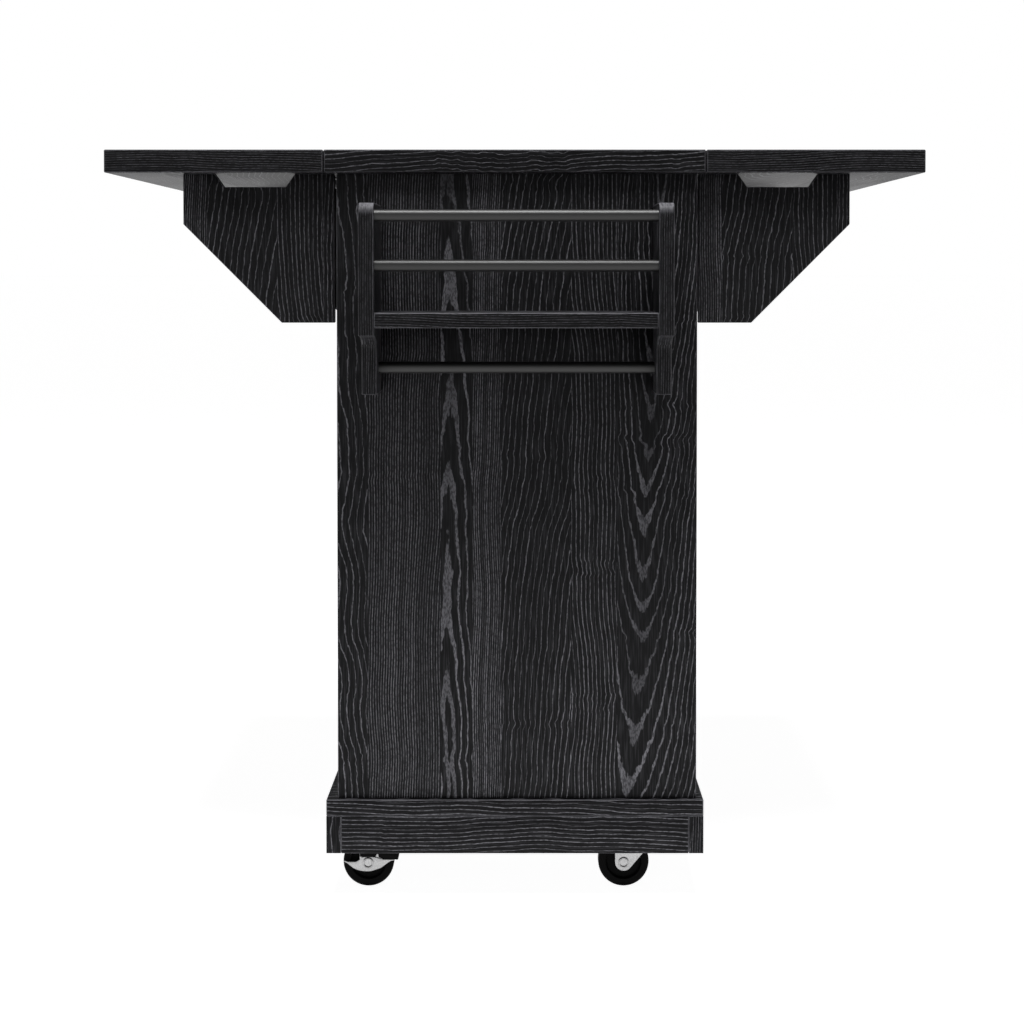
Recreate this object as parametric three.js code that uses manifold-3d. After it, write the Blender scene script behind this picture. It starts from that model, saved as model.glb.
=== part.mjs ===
// Drop leaf kitchen island on casters, with a spice and towel rack on one end.
// Millimetres, +Z up. The rack end faces -Y, the doors face -X (front), the closed side faces +X (back).
// Both leaves are up, resting on four swing-out brackets.

import * as THREE from 'three';
import { mergeVertices } from 'three/addons/utils/BufferGeometryUtils.js';
import Module from 'manifold-3d';

const wasm = await Module();
wasm.setup();

// ---------------------------------------------------------------- driving dimensions

const FIT = 0.3; // gap between pieces that touch

const COUNTER_HEIGHT = 920; // floor to the top of the worktop
const TOP_LENGTH = 780; // worktop and leaves, along Y
const TOP_THICKNESS = 28;
const MAIN_TOP_WIDTH = 465;
const LEAF_WIDTH = 266.3;
const SEAM_GAP = 1.2; // between the middle top and a raised leaf
const TOP_EDGE_ROUND = 1.6;

const FRONT_OVERHANG = 14.5; // middle top past the front of the body
const BACK_OVERHANG = 9.2; // middle top past the back of the body
const END_OVERHANG = 11; // worktop past each end panel
const BOARD = 18; // thickness of the body's boards
const RAIL_HEIGHT = 190; // solid board above the doors
const DOOR_GAP = 2.5; // reveal round each door
const INNER_SHELF_Z = 400; // top of the shelf inside
const INNER_SHELF_SETBACK = 12; // shelf edge behind the doors

const PLINTH_TOP_Z = 122.5;
const BASE_THICKNESS = 20;
const PLINTH_WIDTH = 464;
const PLINTH_END_PROJECTION = 6; // plinth past each end panel
const FASCIA_THICKNESS = 18;
const END_FASCIA_THICKNESS = 12;
const FASCIA_BOTTOM_Z = 56;
const CASTER_BOARD_WIDTH = 90;

const BRACKET_THICKNESS = 14;
const BRACKET_REACH = 185.5; // from its hinge edge to its outer edge
const BRACKET_HEIGHT = 183;
const BRACKET_OUTER_EDGE = 62; // height of the vertical outer edge above the cut corner
const BRACKET_FOOT = 65; // width left at the bottom
const BRACKET_INSET = 22; // bracket behind the worktop's end
const BRACKET_FRONT_GAP = 3.7; // hinge edge to the front of the body
const BRACKET_BACK_GAP = 2.4; // hinge edge to the back of the body
const NOTCH_START = 48; // notch in the bracket's top edge, from its hinge edge
const NOTCH_END = 147;
const NOTCH_DEPTH = 16.3;
const NOTCH_SLOPE = 11.5; // run of each slanted side

const BRACKET_HINGE = {
  length: 147,
  knuckles: 5,
  pinRadius: 1.2,
  knuckleRadius: 2.5,
  wingThickness: 1.2,
  wingWidth: 24,
};

const LEAF_HINGE = {
  length: 60,
  knuckles: 3,
  pinRadius: 2.2,
  knuckleRadius: 4.5,
  wingThickness: 2,
  wingWidth: 30,
};
const LEAF_PIN_REACH = 18.8; // leaf hinge pin in front of the body's face, so a hanging leaf clears the folded brackets

const DOOR_PIN_RADIUS = 3;
const DOOR_PIN_LENGTH = 8;
const DOOR_PIN_SETBACK = 5; // pivot behind the door's face
const DOOR_PIN_INSET = 9; // pivot in from the door's edge
const KNOB_RADIUS = 15;
const KNOB_REACH = 25; // front of the knob from the door
const KNOB_HEAD_THICKNESS = 12.5;
const KNOB_NECK_RADIUS = 6.3;
const KNOB_FOOT_RADIUS = 8.2;
const KNOB_FOOT_HEIGHT = 5; // where the foot has tapered to the neck, from the door
const KNOB_Z = 575;
const KNOB_INSET = 32; // knob in from the door's free edge

const RACK_WIDTH = 368.5;
const RACK_BOARD = 18;
const RACK_DEPTH = 121;
const RACK_LOWER_DEPTH = 73.5;
const RACK_TOP_Z = 852;
const RACK_STEP_Z = 696; // where the deep upper part ends
const RACK_COVE_HEIGHT = 18; // curve under the step
const RACK_BOTTOM_Z = 625;
const RACK_CORNER_RADIUS = 15;
const RACK_SHELF_TOP_Z = 723.5;
const RACK_SHELF_SETBACK = 2;
const BAR_RADIUS = 7;
const BAR_SOCKET = 9; // depth of each blind hole
const GUARD_BAR_SETBACK = 12; // bar centre behind the uprights' front
const GUARD_BAR_ZS = [837, 778.5];
const TOWEL_BAR_DEPTH = 37; // bar centre in front of the end panel
const TOWEL_BAR_Z = 656;

const CASTER_X = 160; // swivel axis from the middle
const CASTER_INSET = 65; // swivel axis from the worktop's end
const CASTER_TRAIL = 24; // wheel centre behind the swivel axis
const CASTER_HEIGHT = 83.9;
const PLATE_SIZE = 46;
const PLATE_THICKNESS = 2.5;
const RACE_RADIUS = 20;
const RACE_HEIGHT = 7;
const CROWN_RADIUS = 19;
const CROWN_THICKNESS = 3;
const KINGPIN_RADIUS = 5;
const WHEEL_RADIUS = 31.75;
const WHEEL_WIDTH = 22;
const HUB_WIDTH = 26;
const HUB_RADIUS = 9;
const RIM_RADIUS = 22;
const WEB_WIDTH = 12;
const TREAD_ROUND = 4;
const AXLE_RADIUS = 4;
const FORK_ARM_THICKNESS = 2;
const FORK_ARM_RADIUS = 10.8; // round lower end of each arm
const FORK_ARM_SLANT = 49.5; // degrees from level of the arm's sloping edge
const FORK_ARM_SHOULDER = 18.4; // top of the arm's upright edge above the axle
const FORK_ARM_NECK = 22.8; // width of the arm at the crown
const RIVET_RADIUS = 5.9;
const RIVET_HEIGHT = 1.4;
const LEVER_THICKNESS = 1.5;
const LEVER_TIP = 31; // reach of the crescent past the axle, away from the pedal
const LEVER_TIP_RISE = 2; // that tip above the axle
const LEVER_DROP = 11; // lowest point of the crescent below the axle
const LEVER_BEND = 17; // where its lower edge bends most, to either side of the axle
const LEVER_ARM_RISE = 4; // top of its arm to the pedal above the axle
const LEVER_HUMP_RISE = 7; // top of the hump over the axle
const LEVER_HUMP_LENGTH = 8; // level part of that hump
const LEVER_HUMP_FOOT = 16; // where the hump runs out, to either side of the axle
const PEDAL_START = 33; // pedal's near side from the axle
const PEDAL_LENGTH = 5.5;
const PEDAL_HEIGHT = 13;
const PEDAL_LIFT = 1; // pedal's underside above the axle

const ROUND = 18; // sides of a large round
const WHEEL_SIDES = 28;
const FINE = 12; // sides of a small round
const KNOB_HEAD_STEPS = 7;
const HINGE_SIDES = 10;

// ---------------------------------------------------------------- places worked out from them

const UNDERSIDE_Z = COUNTER_HEIGHT - TOP_THICKNESS;
const BODY_TOP_Z = UNDERSIDE_Z - FIT;
const RACK_REACH = Math.max(0, RACK_DEPTH - END_OVERHANG); // rack past the worktop's end
const TOP_NEAR_Y = (RACK_REACH - TOP_LENGTH) / 2;
const TOP_FAR_Y = TOP_NEAR_Y + TOP_LENGTH;
const BODY_NEAR_Y = TOP_NEAR_Y + END_OVERHANG;
const BODY_FAR_Y = TOP_FAR_Y - END_OVERHANG;
const BODY_FRONT_X = FRONT_OVERHANG - MAIN_TOP_WIDTH / 2;
const BODY_BACK_X = MAIN_TOP_WIDTH / 2 - BACK_OVERHANG;
const BODY_MIDDLE_X = (BODY_FRONT_X + BODY_BACK_X) / 2;
const INSIDE_NEAR_Y = BODY_NEAR_Y + BOARD + FIT;
const INSIDE_FAR_Y = BODY_FAR_Y - BOARD - FIT;
const INSIDE_BACK_X = BODY_BACK_X - BOARD;
const DOOR_BACK_X = BODY_FRONT_X + BOARD;
const RAIL_BOTTOM_Z = UNDERSIDE_Z - RAIL_HEIGHT;
const BRACKET_PIN_OFFSET = BRACKET_HINGE.knuckleRadius + FIT; // pin to the faces its wings lie on
const LEAF_PIN_DROP = LEAF_HINGE.knuckleRadius + FIT;
const NOTCH_MIDDLE = (NOTCH_START + NOTCH_END) / 2;
const WHEEL_Z = WHEEL_RADIUS;
const ARM_INNER = HUB_WIDTH / 2 + FIT;
const ARM_OUTER = ARM_INNER + FORK_ARM_THICKNESS;
const LEVER_INNER = ARM_OUTER + FIT;
const LEVER_OUTER = LEVER_INNER + LEVER_THICKNESS;

/** The two long sides: which way is out, where the body's face is, and the gap to a bracket's hinge edge. */
const SIDES = [
  { name: 'front', out: -1, faceX: BODY_FRONT_X, gap: BRACKET_FRONT_GAP },
  { name: 'back', out: 1, faceX: BODY_BACK_X, gap: BRACKET_BACK_GAP },
];

/** The two ends: which way is inwards along Y, and where the worktop ends. */
const ENDS = [
  { name: 'near', inward: 1, topY: TOP_NEAR_Y },
  { name: 'far', inward: -1, topY: TOP_FAR_Y },
];

// ---------------------------------------------------------------- materials

const oak = () => new THREE.MeshStandardMaterial({ color: 0x2b2a2d, roughness: 0.62, metalness: 0 });
const blackMetal = () => new THREE.MeshStandardMaterial({ color: 0x232326, roughness: 0.35, metalness: 0.85 });
const zinc = () => new THREE.MeshStandardMaterial({ color: 0xcfcfcf, roughness: 0.35, metalness: 0.9 });
const wheelPlastic = () => new THREE.MeshStandardMaterial({ color: 0x121212, roughness: 0.5, metalness: 0 });

// ---------------------------------------------------------------- shape helpers

const X = new THREE.Vector3(1, 0, 0);
const Y = new THREE.Vector3(0, 1, 0);
const Z = new THREE.Vector3(0, 0, 1);

/** A rectangular block between two corners. */
function block([x0, x1], [y0, y1], [z0, z1]) {
  const geometry = new THREE.BoxGeometry(x1 - x0, y1 - y0, z1 - z0);
  return geometry.translate((x0 + x1) / 2, (y0 + y1) / 2, (z0 + z1) / 2);
}

/** An outline of [a, b] points as a closed shape. */
function outline(points) {
  return new THREE.Shape(points.map(([a, b]) => new THREE.Vector2(a, b)));
}

/** A shape drawn in X and Z, made solid between two places along Y. */
function extrudeAlongY(shape, y0, y1) {
  const geometry = new THREE.ExtrudeGeometry(shape, { depth: y1 - y0, bevelEnabled: false, curveSegments: 8 });
  return geometry.rotateX(Math.PI / 2).translate(0, y1, 0);
}

/** A shape drawn in Y and Z, made solid between two places along X. */
function extrudeAlongX(shape, x0, x1) {
  const geometry = new THREE.ExtrudeGeometry(shape, { depth: x1 - x0, bevelEnabled: false, curveSegments: 6 });
  geometry.applyMatrix4(new THREE.Matrix4().makeBasis(Y, Z, X));
  return geometry.translate(x0, 0, 0);
}

/** A cylinder between two places along an axis ('x', 'y' or 'z') through a point. */
function rod(axis, radius, from, to, [x, y, z], sides = ROUND) {
  const geometry = new THREE.CylinderGeometry(radius, radius, to - from, sides);
  geometry.translate(0, (from + to) / 2, 0);
  if (axis === 'x') geometry.rotateZ(-Math.PI / 2);
  if (axis === 'z') geometry.rotateX(Math.PI / 2);
  return geometry.translate(x, y, z);
}

/** A closed geometry as a manifold solid. */
function solid(geometry) {
  const bare = geometry.clone();
  bare.deleteAttribute('normal');
  bare.deleteAttribute('uv');
  const merged = mergeVertices(bare, 1e-4);
  return new wasm.Manifold(new wasm.Mesh({
    numProp: 3,
    vertProperties: new Float32Array(merged.attributes.position.array),
    triVerts: new Uint32Array(merged.index.array),
  }));
}

/** A manifold solid as a geometry. */
function geometryOf(body) {
  const mesh = body.getMesh();
  const geometry = new THREE.BufferGeometry();
  geometry.setAttribute('position', new THREE.BufferAttribute(new Float32Array(mesh.vertProperties), 3));
  geometry.setIndex(new THREE.BufferAttribute(new Uint32Array(mesh.triVerts), 1));
  geometry.computeVertexNormals();
  return geometry;
}

/** Geometries joined to one, with others cut away. */
function carve(joined, cuts = []) {
  const whole = joined.map(solid).reduce((a, b) => a.add(b));
  return geometryOf(cuts.map(solid).reduce((a, b) => a.subtract(b), whole));
}

const island = new THREE.Group();

/** Adds one named piece to the island. */
function piece(name, geometry, material, position = [0, 0, 0]) {
  const mesh = new THREE.Mesh(geometry, material);
  mesh.name = name;
  mesh.position.set(...position);
  island.add(mesh);
  return mesh;
}

// ---------------------------------------------------------------- worktop

/** A worktop board with all its edges slightly rounded. */
function slab(width, length) {
  const a = width / 2 - TOP_EDGE_ROUND;
  const b = length / 2 - TOP_EDGE_ROUND;
  const geometry = new THREE.ExtrudeGeometry(outline([[-a, -b], [a, -b], [a, b], [-a, b]]), {
    depth: TOP_THICKNESS - 2 * TOP_EDGE_ROUND,
    bevelThickness: TOP_EDGE_ROUND,
    bevelSize: TOP_EDGE_ROUND,
    bevelSegments: 2,
  });
  return geometry.translate(0, 0, TOP_EDGE_ROUND);
}

function addWorktop() {
  const middleY = (TOP_NEAR_Y + TOP_FAR_Y) / 2;
  piece('top_main', slab(MAIN_TOP_WIDTH, TOP_LENGTH), oak(), [0, middleY, UNDERSIDE_Z]);
  for (const side of SIDES) {
    const x = side.out * (MAIN_TOP_WIDTH / 2 + SEAM_GAP + LEAF_WIDTH / 2);
    piece(`leaf_${side.name}`, slab(LEAF_WIDTH, TOP_LENGTH), oak(), [x, middleY, UNDERSIDE_Z]);
  }
}

// ---------------------------------------------------------------- hinges

/**
 * Half of a hinge about its own Z axis, centred on it. Its wing runs along +X and lies against a face at +Y.
 * The half that holds the pin has solid knuckles, and the other half has bored ones.
 */
function hingeHalf(hinge, holdsPin) {
  const { length, knuckles, pinRadius, knuckleRadius, wingThickness, wingWidth } = hinge;
  const pitch = length / knuckles;
  const clear = knuckleRadius + FIT;
  const wingY = [knuckleRadius - wingThickness, knuckleRadius];
  const joined = [block([clear, wingWidth], wingY, [-length / 2, length / 2])];
  const cuts = [];
  for (let k = holdsPin ? 1 : 0; k < knuckles; k += 2) {
    const low = -length / 2 + k * pitch + (k > 0 ? FIT / 2 : 0);
    const high = -length / 2 + (k + 1) * pitch - (k < knuckles - 1 ? FIT / 2 : 0);
    joined.push(rod('z', knuckleRadius, low, high, [0, 0, 0], HINGE_SIDES));
    joined.push(block([0, clear + 1], wingY, [low, high]));
  }
  if (holdsPin) joined.push(rod('z', pinRadius, -length / 2, length / 2, [0, 0, 0], HINGE_SIDES));
  else cuts.push(rod('z', pinRadius + FIT, -length, length, [0, 0, 0], HINGE_SIDES));
  return carve(joined, cuts);
}

/** Places a hinge half: its wing runs along `run` and lies against a face in the direction of `face`. */
function placeHinge(name, hinge, holdsPin, run, face, position) {
  const axis = new THREE.Vector3().crossVectors(run, face);
  const geometry = hingeHalf(hinge, holdsPin).applyMatrix4(new THREE.Matrix4().makeBasis(run, face, axis));
  piece(name, geometry, blackMetal(), position);
}

// ---------------------------------------------------------------- brackets

/** Where a bracket's hinge pin stands. */
function bracketPin(side, end) {
  const x = side.faceX + side.out * BRACKET_PIN_OFFSET;
  const y = end.topY + end.inward * (BRACKET_INSET + BRACKET_THICKNESS + BRACKET_PIN_OFFSET);
  return [x, y];
}

/** A swing bracket's outline, with `a` measured outwards from its hinge edge and `z` from its top edge. */
function bracketOutline(side) {
  const points = [
    [0, 0],
    [NOTCH_START, 0],
    [NOTCH_START + NOTCH_SLOPE, -NOTCH_DEPTH],
    [NOTCH_END - NOTCH_SLOPE, -NOTCH_DEPTH],
    [NOTCH_END, 0],
    [BRACKET_REACH, 0],
    [BRACKET_REACH, -BRACKET_OUTER_EDGE],
    [BRACKET_FOOT, -BRACKET_HEIGHT],
    [0, -BRACKET_HEIGHT],
  ];
  const edgeX = side.faceX + side.out * side.gap;
  return outline(points.map(([a, z]) => [edgeX + side.out * a, BODY_TOP_Z + z]));
}

function addBrackets() {
  for (const side of SIDES) {
    for (const end of ENDS) {
      const tag = `${side.name}_${end.name}`;
      const outerY = end.topY + end.inward * BRACKET_INSET;
      const innerY = outerY + end.inward * BRACKET_THICKNESS;
      const board = extrudeAlongY(bracketOutline(side), Math.min(outerY, innerY), Math.max(outerY, innerY));
      piece(`bracket_${tag}`, board, oak());
      const [x, y] = bracketPin(side, end);
      const middle = [x, y, BODY_TOP_Z - BRACKET_HEIGHT / 2];
      const outward = X.clone().multiplyScalar(side.out);
      const inward = Y.clone().multiplyScalar(end.inward);
      placeHinge(`bracket_hinge_fixed_${tag}`, BRACKET_HINGE, false, inward, outward.clone().negate(), middle);
      placeHinge(`bracket_hinge_moving_${tag}`, BRACKET_HINGE, true, outward, inward.clone().negate(), middle);
    }
  }
}

// ---------------------------------------------------------------- leaf hinges

/** The middle of a leaf hinge along Y: over the notch that a folded bracket has there. */
function leafHingeY(side, end) {
  const edge = side.gap - BRACKET_PIN_OFFSET;
  return bracketPin(side, end)[1] + end.inward * (NOTCH_MIDDLE + edge);
}

function addLeafHinges() {
  for (const side of SIDES) {
    for (const end of ENDS) {
      const tag = `${side.name}_${end.name}`;
      const middle = [side.faceX + side.out * LEAF_PIN_REACH, leafHingeY(side, end), UNDERSIDE_Z - LEAF_PIN_DROP];
      const outward = X.clone().multiplyScalar(side.out);
      placeHinge(`leaf_hinge_fixed_${tag}`, LEAF_HINGE, false, outward.clone().negate(), Z, middle);
      placeHinge(`leaf_hinge_moving_${tag}`, LEAF_HINGE, true, outward, Z, middle);
    }
  }
}

// ---------------------------------------------------------------- body

/** A board across the inside, between the end panels, with housings in its top edge for the leaf hinges. */
function housedBoard(side, bottomZ) {
  const half = LEAF_HINGE.length / 2 + FIT;
  const housingZ = BODY_TOP_Z - LEAF_HINGE.wingThickness - FIT;
  const near = leafHingeY(side, ENDS[0]);
  const far = leafHingeY(side, ENDS[1]);
  return outline([
    [INSIDE_NEAR_Y, bottomZ],
    [INSIDE_FAR_Y, bottomZ],
    [INSIDE_FAR_Y, BODY_TOP_Z],
    [far + half, BODY_TOP_Z],
    [far + half, housingZ],
    [far - half, housingZ],
    [far - half, BODY_TOP_Z],
    [near + half, BODY_TOP_Z],
    [near + half, housingZ],
    [near - half, housingZ],
    [near - half, BODY_TOP_Z],
    [INSIDE_NEAR_Y, BODY_TOP_Z],
  ]);
}

function addBody() {
  const floorZ = PLINTH_TOP_Z + FIT;
  const width = [BODY_FRONT_X, BODY_BACK_X];
  piece('end_panel_rack', block(width, [BODY_NEAR_Y, BODY_NEAR_Y + BOARD], [floorZ, BODY_TOP_Z]), oak());
  piece('end_panel_far', block(width, [BODY_FAR_Y - BOARD, BODY_FAR_Y], [floorZ, BODY_TOP_Z]), oak());
  const pinHoles = doorPivots().map(([x, y]) => {
    return rod('z', DOOR_PIN_RADIUS + FIT, -FIT, DOOR_PIN_LENGTH, [x, y, RAIL_BOTTOM_Z]);
  });
  const rail = extrudeAlongX(housedBoard(SIDES[0], RAIL_BOTTOM_Z), BODY_FRONT_X, DOOR_BACK_X);
  piece('front_rail', carve([rail], pinHoles), oak());
  piece('back_panel', extrudeAlongX(housedBoard(SIDES[1], floorZ), INSIDE_BACK_X, BODY_BACK_X), oak());
  const shelfX = [DOOR_BACK_X + INNER_SHELF_SETBACK, INSIDE_BACK_X - FIT];
  piece('inner_shelf', block(shelfX, [INSIDE_NEAR_Y, INSIDE_FAR_Y], [INNER_SHELF_Z - BOARD, INNER_SHELF_Z]), oak());
}

// ---------------------------------------------------------------- doors

/** The pivot of the near door, then of the far door, as [x, y]. */
function doorPivots() {
  const inset = DOOR_GAP + DOOR_PIN_INSET;
  const x = BODY_FRONT_X + DOOR_PIN_SETBACK;
  return [[x, BODY_NEAR_Y + BOARD + inset], [x, BODY_FAR_Y - BOARD - inset]];
}

/** A turned knob about X, its foot at the origin and pointing to -X. */
function knob() {
  const halfHead = KNOB_HEAD_THICKNESS / 2;
  const start = -Math.acos(KNOB_NECK_RADIUS / KNOB_RADIUS);
  const head = new THREE.EllipseCurve(0, KNOB_REACH - halfHead, KNOB_RADIUS, halfHead, start, Math.PI / 2);
  const profile = [
    new THREE.Vector2(0, 0),
    new THREE.Vector2(KNOB_FOOT_RADIUS, 0),
    new THREE.Vector2(KNOB_NECK_RADIUS, KNOB_FOOT_HEIGHT),
    ...head.getPoints(KNOB_HEAD_STEPS).slice(0, -1),
    new THREE.Vector2(0, KNOB_REACH),
  ];
  return new THREE.LatheGeometry(profile, ROUND).rotateZ(Math.PI / 2);
}

function addDoors() {
  const nearEdge = BODY_NEAR_Y + BOARD + DOOR_GAP;
  const farEdge = BODY_FAR_Y - BOARD - DOOR_GAP;
  const middleY = (nearEdge + farEdge) / 2;
  const low = PLINTH_TOP_Z + DOOR_GAP;
  const high = RAIL_BOTTOM_Z - DOOR_GAP;
  const spans = [[nearEdge, middleY - DOOR_GAP / 2], [middleY + DOOR_GAP / 2, farEdge]];
  const knobYs = [spans[0][1] - KNOB_INSET, spans[1][0] + KNOB_INSET];
  doorPivots().forEach((pivot, i) => {
    const board = block([BODY_FRONT_X, DOOR_BACK_X], spans[i], [low, high]);
    const pin = rod('z', DOOR_PIN_RADIUS, low - DOOR_PIN_LENGTH, high + DOOR_PIN_LENGTH, [...pivot, 0]);
    const tag = ENDS[i].name;
    piece(`door_${tag}`, carve([board, pin]), oak());
    piece(`door_knob_${tag}`, knob(), blackMetal(), [BODY_FRONT_X - FIT, knobYs[i], KNOB_Z]);
  });
}

// ---------------------------------------------------------------- plinth

function addPlinth() {
  const half = PLINTH_WIDTH / 2;
  const nearY = BODY_NEAR_Y - PLINTH_END_PROJECTION;
  const farY = BODY_FAR_Y + PLINTH_END_PROJECTION;
  const baseBottom = PLINTH_TOP_Z - BASE_THICKNESS;
  const base = block([-half, half], [nearY, farY], [baseBottom, PLINTH_TOP_Z]);
  const sockets = doorPivots().map(([x, y]) => {
    const depth = DOOR_PIN_LENGTH - DOOR_GAP + FIT;
    return rod('z', DOOR_PIN_RADIUS + FIT, PLINTH_TOP_Z - depth, PLINTH_TOP_Z + FIT, [x, y, 0]);
  });
  piece('base_board', carve([base], sockets), oak());
  const fasciaZ = [FASCIA_BOTTOM_Z, baseBottom - FIT];
  piece('fascia_front', block([-half, FASCIA_THICKNESS - half], [nearY, farY], fasciaZ), oak());
  piece('fascia_back', block([half - FASCIA_THICKNESS, half], [nearY, farY], fasciaZ), oak());
  const between = half - FASCIA_THICKNESS - FIT;
  const acrossX = [-between, between];
  piece('fascia_end_near', block(acrossX, [nearY, nearY + END_FASCIA_THICKNESS], fasciaZ), oak());
  piece('fascia_end_far', block(acrossX, [farY - END_FASCIA_THICKNESS, farY], fasciaZ), oak());
  const boardZ = [CASTER_HEIGHT + FIT, baseBottom - FIT];
  const nearBoard = nearY + END_FASCIA_THICKNESS + FIT;
  const farBoard = farY - END_FASCIA_THICKNESS - FIT;
  piece('caster_board_near', block(acrossX, [nearBoard, nearBoard + CASTER_BOARD_WIDTH], boardZ), oak());
  piece('caster_board_far', block(acrossX, [farBoard - CASTER_BOARD_WIDTH, farBoard], boardZ), oak());
}

// ---------------------------------------------------------------- rack on the end panel

/** An upright seen from the side: deep above the step, shallower below it. `a` runs towards -Y. */
function uprightShape() {
  const back = BODY_NEAR_Y - FIT;
  const front = BODY_NEAR_Y - RACK_DEPTH;
  const lower = BODY_NEAR_Y - RACK_LOWER_DEPTH;
  const cornerY = front + RACK_CORNER_RADIUS;
  const cornerZ = RACK_TOP_Z - RACK_CORNER_RADIUS;
  const shape = new THREE.Shape();
  shape.moveTo(back, RACK_BOTTOM_Z);
  shape.lineTo(back, RACK_TOP_Z);
  shape.lineTo(cornerY, RACK_TOP_Z);
  shape.absarc(cornerY, cornerZ, RACK_CORNER_RADIUS, Math.PI / 2, Math.PI, false);
  shape.lineTo(front, RACK_STEP_Z);
  const coveZ = RACK_STEP_Z - RACK_COVE_HEIGHT;
  shape.absellipse(front, coveZ, lower - front, RACK_COVE_HEIGHT, Math.PI / 2, 0, true);
  shape.lineTo(lower, RACK_BOTTOM_Z);
  shape.closePath();
  return shape;
}

function addRack() {
  const left = BODY_MIDDLE_X - RACK_WIDTH / 2;
  const right = BODY_MIDDLE_X + RACK_WIDTH / 2;
  const bars = [
    ...GUARD_BAR_ZS.map((z) => ({ y: BODY_NEAR_Y - RACK_DEPTH + GUARD_BAR_SETBACK, z })),
    { y: BODY_NEAR_Y - TOWEL_BAR_DEPTH, z: TOWEL_BAR_Z },
  ];
  const socketFrom = left + RACK_BOARD - BAR_SOCKET;
  const socketTo = right - RACK_BOARD + BAR_SOCKET;
  const sockets = bars.map(({ y, z }) => rod('x', BAR_RADIUS + FIT, socketFrom, socketTo, [0, y, z]));
  piece('rack_upright_left', carve([extrudeAlongX(uprightShape(), left, left + RACK_BOARD)], sockets), oak());
  piece('rack_upright_right', carve([extrudeAlongX(uprightShape(), right - RACK_BOARD, right)], sockets), oak());
  const shelfX = [left + RACK_BOARD + FIT, right - RACK_BOARD - FIT];
  const shelfY = [BODY_NEAR_Y - RACK_DEPTH + RACK_SHELF_SETBACK, BODY_NEAR_Y - FIT];
  piece('rack_shelf', block(shelfX, shelfY, [RACK_SHELF_TOP_Z - RACK_BOARD, RACK_SHELF_TOP_Z]), oak());
  const names = ['guard_bar_upper', 'guard_bar_lower', 'towel_bar'];
  bars.forEach(({ y, z }, i) => {
    piece(names[i], rod('x', BAR_RADIUS, socketFrom + FIT, socketTo - FIT, [0, y, z]), blackMetal());
  });
}

// ---------------------------------------------------------------- casters

/** The top plate with its race, its swivel axis at x = y = 0. */
function casterPlate() {
  const half = PLATE_SIZE / 2;
  const plate = block([-half, half], [-half, half], [CASTER_HEIGHT - PLATE_THICKNESS, CASTER_HEIGHT]);
  const raceTop = CASTER_HEIGHT - PLATE_THICKNESS;
  const race = rod('z', RACE_RADIUS, raceTop - RACE_HEIGHT, raceTop + 1, [0, 0, 0]);
  return carve([plate, race], [rod('z', KINGPIN_RADIUS + FIT, 0, CASTER_HEIGHT + 1, [0, 0, 0])]);
}

/** One fork arm's outline in X and Z, the axle at [-trail, WHEEL_Z]. */
function forkArmShape(crownTop) {
  const x = -CASTER_TRAIL;
  const slant = THREE.MathUtils.degToRad(FORK_ARM_SLANT);
  const shape = new THREE.Shape();
  shape.moveTo(x - FORK_ARM_RADIUS, WHEEL_Z);
  shape.absarc(x, WHEEL_Z, FORK_ARM_RADIUS, Math.PI, 2 * Math.PI - (Math.PI / 2 - slant), false);
  const startX = x + FORK_ARM_RADIUS * Math.sin(slant);
  const startZ = WHEEL_Z - FORK_ARM_RADIUS * Math.cos(slant);
  const edgeX = FORK_ARM_NECK / 2;
  shape.lineTo(edgeX, startZ + (edgeX - startX) * Math.tan(slant));
  shape.lineTo(edgeX, crownTop);
  shape.lineTo(-edgeX, crownTop);
  shape.lineTo(x - FORK_ARM_RADIUS, WHEEL_Z + FORK_ARM_SHOULDER);
  shape.closePath();
  return shape;
}

/** The fork, its swivel axis at x = y = 0: crown, kingpin, two arms and the riveted axle. */
function casterFork(rivetFrom) {
  const crownTop = CASTER_HEIGHT - PLATE_THICKNESS - RACE_HEIGHT - FIT;
  const crown = rod('z', CROWN_RADIUS, crownTop - CROWN_THICKNESS, crownTop, [0, 0, 0]);
  const kingpin = rod('z', KINGPIN_RADIUS, crownTop - 1, CASTER_HEIGHT - FIT, [0, 0, 0]);
  const shape = forkArmShape(crownTop - CROWN_THICKNESS / 2);
  const axleAt = [-CASTER_TRAIL, 0, WHEEL_Z];
  return carve([
    crown,
    kingpin,
    extrudeAlongY(shape, ARM_INNER, ARM_OUTER),
    extrudeAlongY(shape, -ARM_OUTER, -ARM_INNER),
    rod('y', AXLE_RADIUS, -rivetFrom - 1, rivetFrom + 1, axleAt, FINE),
    rod('y', RIVET_RADIUS, rivetFrom, rivetFrom + RIVET_HEIGHT, axleAt, FINE),
    rod('y', RIVET_RADIUS, -rivetFrom - RIVET_HEIGHT, -rivetFrom, axleAt, FINE),
  ]);
}

/** A wheel about Y, centred on its axle: hub, web, rim and rounded tread, bored for the axle. */
function casterWheel() {
  const bore = AXLE_RADIUS + FIT;
  const halfProfile = [
    [bore, HUB_WIDTH / 2],
    [HUB_RADIUS, HUB_WIDTH / 2],
    [HUB_RADIUS + 1, WEB_WIDTH / 2],
    [RIM_RADIUS, WEB_WIDTH / 2],
    [RIM_RADIUS + 1, WHEEL_WIDTH / 2],
    [WHEEL_RADIUS - TREAD_ROUND, WHEEL_WIDTH / 2],
    [WHEEL_RADIUS, WHEEL_WIDTH / 2 - TREAD_ROUND],
  ];
  const other = halfProfile.map(([r, h]) => [r, -h]).reverse();
  const points = [...halfProfile, ...other, halfProfile[0]].map(([r, h]) => new THREE.Vector2(r, h));
  return new THREE.LatheGeometry(points.reverse(), WHEEL_SIDES);
}

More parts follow.
